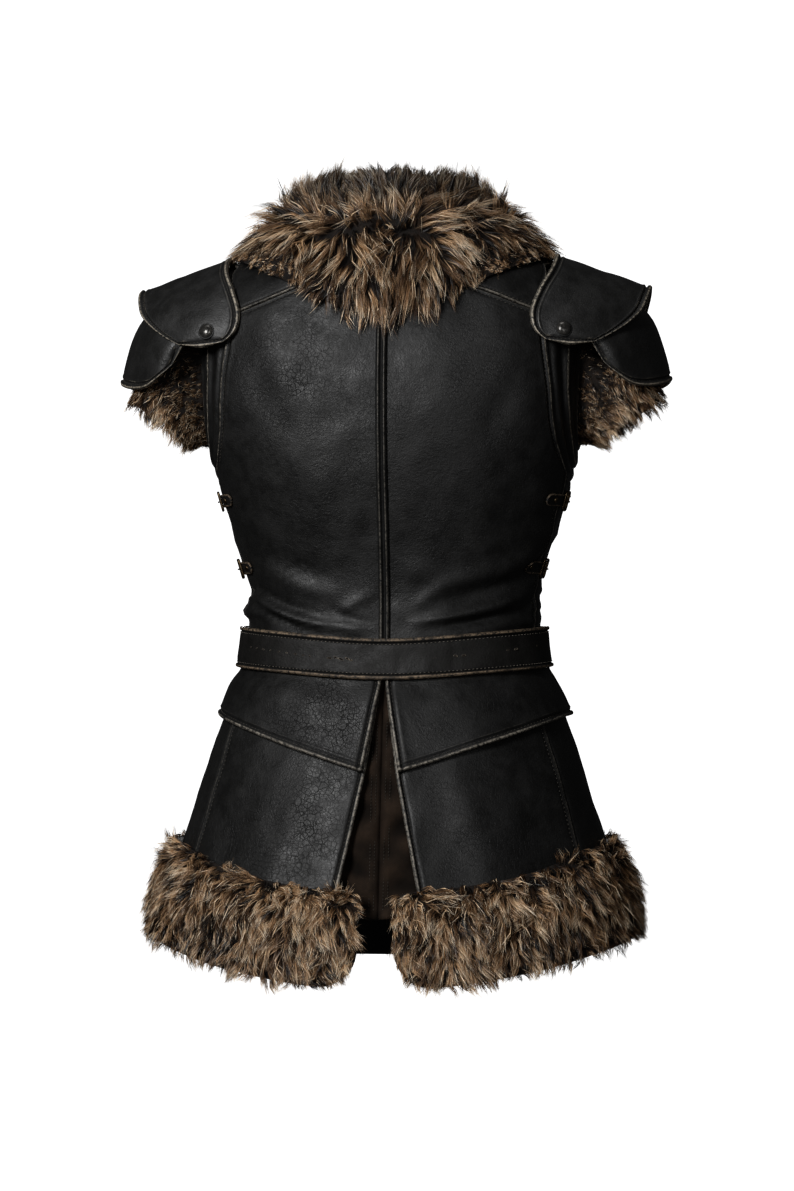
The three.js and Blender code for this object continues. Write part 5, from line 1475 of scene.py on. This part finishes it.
COLLAR_K = 0.52
A, V = np.meshgrid(np.linspace(-178.5, 178.5, 90), np.linspace(0, 1, 22), indexing="ij")
core = slab("fur_collar_hide", collar_core(A, V, COLLAR_K), collar_inner(A, V), mats=(M_HIDE,))
give(core, "fur_collar")


def collar_roots(u, v):
    ang = -178 + 356 * u
    vv = 0.01 + 0.99 * v
    f = lambda a, b: collar_core(a, b, COLLAR_K)
    p, tu, tv = f(ang, vv), unit(f(ang + 1, vv) - f(ang - 1, vv)), unit(f(ang, np.minimum(vv + 0.02, 1.04)) - f(ang, vv - 0.02))
    n = unit(np.cross(tu, tv))
    c = p * [1, 1, 0]
    flip = np.sum(n * (unit(c) + [0, 0, 0.8]), -1) < 0
    n[flip] *= -1
    return p, n, tu, tv


def collar_flow(u, v, rr):
    ang = -178 + 356 * u
    aa = np.abs(ang)
    part = np.interp(aa, [0, 30, 90, 180], [0.50, 0.53, 0.66, 0.78]) + 0.04 * np.sin(ang / 8.3 + 1.0) + 0.03 * np.sin(ang / 3.4 + 0.4)
    k = np.clip((v - part) / 0.17, -1, 1)
    edge = np.exp(-((v - part) / 0.13) ** 2)
    fv = k + rr.normal(0, 0.45, len(u)) * edge
    fu = np.tanh((ang + 9 * np.sin(v * 11)) / 16) * (0.32 + 0.75 * edge) * np.interp(aa, [0, 8, 60, 120, 180], [0.5, 0.8, 0.5, 0.15, 0.0])
    fu = fu + rr.normal(0, 0.4, len(u)) * edge
    fn = 0.35 * np.exp(-((v - part) / 0.13) ** 2) + 0.35 * smooth(0.45, 0.62, v) * (1 - smooth(0.78, 0.9, v)) * smooth(25, 60, aa)
    fl = np.interp(v, [0, 0.12, 0.3, 0.5, 0.72, 0.86, 1], [0.62, 0.80, 1.0, 1.0, 0.9, 0.6, 0.42])
    high = smooth(0.6, 0.75, v)
    flank = smooth(34, 55, aa) * (1 - smooth(105, 125, aa)) * smooth(0.48, 0.62, v) * (1 - smooth(0.92, 1.0, v))
    fl = fl * (1 - 0.30 * high * (1 - smooth(22, 42, aa))) * (1 + 0.08 * flank)
    fl = fl * np.where(rr.uniform(0, 1, len(u)) < 0.12, 1.3, 1.0)
    fl = fl * (1 - 0.80 * smooth(24, 44, aa) * (1 - smooth(74, 88, aa)) * (1 - smooth(0.20, 0.46, v)))
    fn = fn + 0.42 * flank
    return fu, fv, fn, fl


# painted shade at the top of the collar at the back, and a touch of painted light low down
def collar_light(u, v):
    aa = np.abs(-178 + 356 * u)
    return -0.25 * smooth(0.54, 0.74, v) * (1 - smooth(45, 80, aa)) + 0.02 * (1 - smooth(0.3, 0.5, v))


# painted shade: the collar's top at the back is darkened
fur("fur_collar_hair", collar_roots, collar_flow, 2900, 21, 36, 3.8, 21, None, widths=(0.78, 0.36), bounds=(620, 230), light=collar_light,
    dim=lambda u, v: 1 - 0.84 * smooth(0.52, 0.70, v) * (1 - smooth(45, 85, np.abs(-178 + 356 * u))))


# hem fur
def hem_surface(side, ang, v, k):
    r = at_first(HEM_FUR, ang)
    top, bot, thick = r[..., 1], np.maximum(r[..., 2], -774), r[..., 3]
    s0, s1 = s_of_z(top), s_of_z(bot)
    u = (ang - 6) / 168
    tip = np.clip(1 - np.minimum(u, 1 - u) / 0.045, 0, 1) * (1 if k > 0.1 else 0)
    # rounded corners: full ones beside the vent, slight ones at the front band
    vent = np.clip(1 - u / 0.06, 0, 1)
    corner = 1 - np.sqrt(np.clip(1 - vent ** 2, 0, 1))
    v = 0.46 + (v - 0.46) * (1 - np.where(u < 0.5, np.where(v > 0.46, 0.52, 0.24) * corner, 0.30 * tip ** 2))
    S = s0 + (s1 - s0) * v
    bodyv = np.clip(np.sin(np.pi * (0.12 + 0.76 * np.clip(v, 0, 1))), 0, 1) ** 0.7
    ends = 0.55 + 0.45 * smooth(0, 0.05, np.minimum(u, 1 - u))
    ph = 90 - ang
    off = 2.2 + (thick * bodyv * ends - 0.7) * k
    p = face(ph, S) + normal(ph, S) * off[..., None]
    return p * [side, 1, 1]


HEM_K = 0.45
for sd, nm in ((1, "L"), (-1, "R")):
    cols = np.concatenate([0.06 * np.linspace(0, 1, 10)[:-1] ** 1.6, np.linspace(0.06, 1, 72)])
    A, V = np.meshgrid(6 + 168 * cols, np.linspace(0, 1, 14), indexing="ij")
    ob = slab(f"hem_fur_{nm}_hide", hem_surface(sd, A, V, HEM_K), hem_surface(sd, A, V, 0.0), mats=(M_HIDE,))
    give(ob, f"hem_fur_{nm}")

    def hem_roots(u, v, sd=sd):
        ang = 6 + 168 * u
        f = lambda a, b: hem_surface(sd, a, b, HEM_K)
        p = f(ang, v)
        tu = unit(f(np.minimum(ang + 1, 174), v) - f(np.maximum(ang - 1, 6), v))
        tv = unit(f(ang, np.minimum(v + 0.03, 1)) - f(ang, np.maximum(v - 0.03, 0)))
        n = unit(np.cross(tu, tv))
        n = np.where(np.sum(n * (p * [1, 1, 0]), -1, keepdims=True) < 0, -n, n)
        return p, n, tu, tv

    def hem_flow(u, v, rr):
        fv = np.interp(v, [0, 0.05, 0.16, 1], [-0.25, 0.15, 1.0, 1.0])
        end = np.minimum(u, 1 - u)
        fu = np.where(u < 0.5, -0.26 * (1 - smooth(0, 0.05, end)), -0.25 * (1 - smooth(0, 0.06, end)))
        fn = np.interp(v, [0, 0.1, 0.3, 1], [0.4, 0.2, 0.0, 0.0])
        low = np.interp(u, [0, 0.6, 0.8, 1], [0, 0, 0.35, 0.45]) * smooth(0.8, 0.95, v)
        fl = (np.interp(v, [0, 0.1, 0.6, 0.86, 1], [0.6, 0.85, 1.0, 0.8, 0.55]) + low) * (0.62 + 0.38 * smooth(0, 0.05, end))
        return fu, fv, fn, fl

    # painted light on the piece at +X and painted shade on the piece at -X; the tone is also a little darker towards
    # the bottom
    fur(f"hem_fur_{nm}_hair", hem_roots, hem_flow, 2700, 18, 26, 3.4, 31 if sd > 0 else 47, None, widths=(0.76, 0.36), spread=1.7,
        bounds=(610, 105), curly=0.42, tip_mix=0.5, lock=9, draw=0.45,
        light=lambda u, v, sd=sd: (0.10 if sd > 0 else -0.06) - 0.05 * smooth(0.7, 1.0, v))


# cap sleeves
def sleeve_surface(side, u, v, inside):
    n_r = len(ARMHOLE) - 1
    u = u % 1.0
    w = u * 2 * n_r
    back = w <= n_r
    r = cat(ARMHOLE, np.where(back, w, 2 * n_r - w))
    ph = np.maximum(r[..., 0], 0) * np.where(back, 1, -1)
    S = s_of_z(r[..., 1])
    p = face(ph, S) - normal(ph, S) * 0.6
    dy, dz = p[..., 1], p[..., 2] + 128
    l = np.hypot(dy, dz)
    shrink = 5.0 if inside else 1.4
    A = np.stack([p[..., 0] + 0.2, dy * (1 - shrink / l), -128 + dz * (1 - shrink / l)], -1)
    a = u * 2 * np.pi
    k = 1 + (-SLEEVE["wall"] if inside else 0) / 50
    H = np.stack([SLEEVE["cx"] + SLEEVE["ax"] * k * np.cos(a), SLEEVE["by"] * k * np.sin(a), SLEEVE["cz"] + SLEEVE["az"] * k * np.cos(a)], -1)
    top = ((1 + np.cos(2 * np.pi * u)) / 2) ** 0.8
    vc = np.clip(v, 0, 1)
    b = (15 if inside else 23) * top * np.sin(np.pi * vc ** 0.8)
    sidey = (0 if inside else 7) * np.sin(np.pi * vc) * np.abs(np.sin(2 * np.pi * u))
    q = A + (H - A) * v[..., None]
    q = q + np.stack([b * 0.72 + 2 * v, np.sign(A[..., 1]) * sidey, b * 0.62], -1)
    return q * [side, 1, 1]


for sd, nm in ((1, "L"), (-1, "R")):
    U, V = np.meshgrid(np.linspace(0, 1, 60, endpoint=False), np.linspace(0, 1, 14), indexing="ij")
    o_, i_ = sleeve_surface(sd, U, V, False), sleeve_surface(sd, U, V, True)
    ob = slab(f"fur_sleeve_{nm}_hide", i_ + (o_ - i_) * 0.6, i_, closed=True, mats=(M_HIDE,))
    give(ob, f"fur_sleeve_{nm}")

    def sl_roots(u, v, sd=sd):
        f = lambda a, b: (lambda i, o: i + (o - i) * 0.6)(sleeve_surface(sd, a, b, True), sleeve_surface(sd, a, b, False))
        p = f(u, v)
        tu = unit(f(u + 0.006, v) - f(u - 0.006, v))
        tv = unit(f(u, np.minimum(v + 0.03, 1)) - f(u, np.maximum(v - 0.03, 0)))
        n = unit(np.cross(tu, tv))
        ctr = np.array([sd * 225, 0, -140])
        n = np.where(np.sum(n * (p - ctr), -1, keepdims=True) < 0, -n, n)
        return p, n, tu, tv

    def sl_flow(u, v, rr):
        long_side = (1 + np.cos(2 * np.pi * u)) / 2
        fl = np.interp(v, [0, 0.5, 0.82, 1], [0.28, 0.38, 0.9, 1.05])
        return 0 * u, 1 + 0 * u, 0 * u, fl

    # painted shade: the sleeve fur is darker overall and darker still towards the armhole
    fur(f"fur_sleeve_{nm}_hair", sl_roots, sl_flow, 1400, 15, 18, 3.0, 61 if sd > 0 else 77, None, widths=(0.75, 0.4), bounds=(330, 110),
        curly=0.3, light=lambda u, v: -0.10 - 0.24 * (1 - smooth(0.45, 0.8, v)), dim=lambda u, v: 0.5 + 0.35 * smooth(0.4, 0.8, v))

# ------------------------------------------------------------------ thread
def thread(name, rows, r, mat):
    a, b, m = (np.concatenate([x[i] for x in rows]) for i in range(3))
    t = unit(b - a)
    w = unit(np.cross(m, t))
    c = (a + b) / 2
    V = np.stack([a - t * 0.3 - m * 0.3, c + w * r, c + m * (r + 0.1), c - w * r, c - m * r, b + t * 0.3 - m * 0.3], 1).reshape(-1, 3)
    k = np.arange(len(a))[:, None] * 6
    T = np.concatenate([k + [0, i + 1, (i + 1) % 4 + 1] for i in range(4)] + [k + [5, (i + 1) % 4 + 1, i + 1] for i in range(4)])
    give(build(name, V, None, T, mats=(mat,)), None)


thread("stitching", STITCHES, 0.42, M_THREAD)
thread("belt_stitching", BELT_STITCHES, 0.40, M_PALE_THREAD)

# ------------------------------------------------------------------ stage, light, camera
def bowl():
    prof = [(0.0, -1.5)] + [(r_, -1.5) for r_ in (2, 4, 5.5)] + [(5.5 + 2.6 * math.sin(a_), -1.5 + 2.6 * (1 - math.cos(a_))) for a_ in np.linspace(0.1, math.pi / 2, 16)] + [(8.1, 9.0)]
    seg = 96
    V = [(0, 0, -1.5)]
    for r_, z_ in prof[1:]:
        V += [(r_ * math.cos(2 * math.pi * j / seg), r_ * math.sin(2 * math.pi * j / seg), z_) for j in range(seg)]
    T = [(0, 1 + j, 1 + (j + 1) % seg) for j in range(seg)]
    Q = [(1 + i * seg + j, 1 + (i + 1) * seg + j, 1 + (i + 1) * seg + (j + 1) % seg, 1 + i * seg + (j + 1) % seg)
         for i in range(len(prof) - 2) for j in range(seg)]
    ob = build("backdrop", np.array(V) * 1000, Q, T)
    mt, nt = nodes_of("backdrop_white")
    t_ = NT(nt)
    b_ = t_.new("ShaderNodeBsdfPrincipled")
    b_.inputs["Base Color"].default_value = (0.9, 0.9, 0.9, 1)
    b_.inputs["Roughness"].default_value = 0.9
    b_.inputs["Emission Color"].default_value = (1, 1, 1, 1)
    b_.inputs["Emission Strength"].default_value = 0.95
    o_ = t_.new("ShaderNodeOutputMaterial")
    t_.link(b_.outputs[0], o_.inputs[0])
    ob.data.materials.append(mt)
    ob.visible_diffuse = ob.visible_glossy = ob.visible_shadow = False
    ob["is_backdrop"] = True


bowl()


def area(name, loc, target, size, power, colour=(1, 1, 1)):
    d = bpy.data.lights.new(name, "AREA")
    d.shape = "RECTANGLE"
    d.size, d.size_y = size
    d.energy = power
    d.color = colour
    o_ = bpy.data.objects.new(name, d)
    bpy.context.scene.collection.objects.link(o_)
    o_.location = loc
    o_.rotation_euler = (Vector(target) - Vector(loc)).to_track_quat("-Z", "Y").to_euler()
    return o_


area("key", (1.35, 2.9, 0.84), (0.0, 0, -0.36), (0.8, 1.1), 91)
area("back_fill", (-0.9, 3.8, 0.1), (0, 0, -0.4), (0.7, 1.2), 16)
area("top", (0.25, 0.35, 2.4), (0, 0, -0.1), (1.2, 1.2), 9)
area("front_key", (0.36, -3.35, -0.05), (0.0, 0, -0.36), (0.5, 1.1), 88)
area("front_fill", (0.36, -3.8, -0.3), (0, 0, -0.4), (0.5, 1.0), 18)

w = bpy.data.worlds.new("studio")
bpy.context.scene.world = w
w.use_nodes = True
w.node_tree.nodes["Background"].inputs[0].default_value = (1, 1, 1, 1)
w.node_tree.nodes["Background"].inputs[1].default_value = 0.035

AZ, DIST, S_PX = 6.0, 3.5, 1.05
right = Vector((-math.cos(AZ * D2R), -math.sin(AZ * D2R), 0))
back_dir = Vector((-math.sin(AZ * D2R), math.cos(AZ * D2R), 0))
cam = bpy.data.cameras.new("camera")
cam.sensor_fit = "VERTICAL"
cam.sensor_height = 36
cam.lens = 36 * DIST * 1000 / (1191 * S_PX)
co_ = bpy.data.objects.new("camera", cam)
bpy.context.scene.collection.objects.link(co_)
loc = back_dir * DIST + right * 0.0026 + Vector((0, 0, -0.3701))
co_.location = loc
co_.rotation_euler = (-back_dir).to_track_quat("-Z", "Y").to_euler()
bpy.context.scene.camera = co_
bpy.context.scene.view_settings.view_transform = "Standard"
bpy.context.scene.view_settings.look = "Medium High Contrast"

lo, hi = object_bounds()
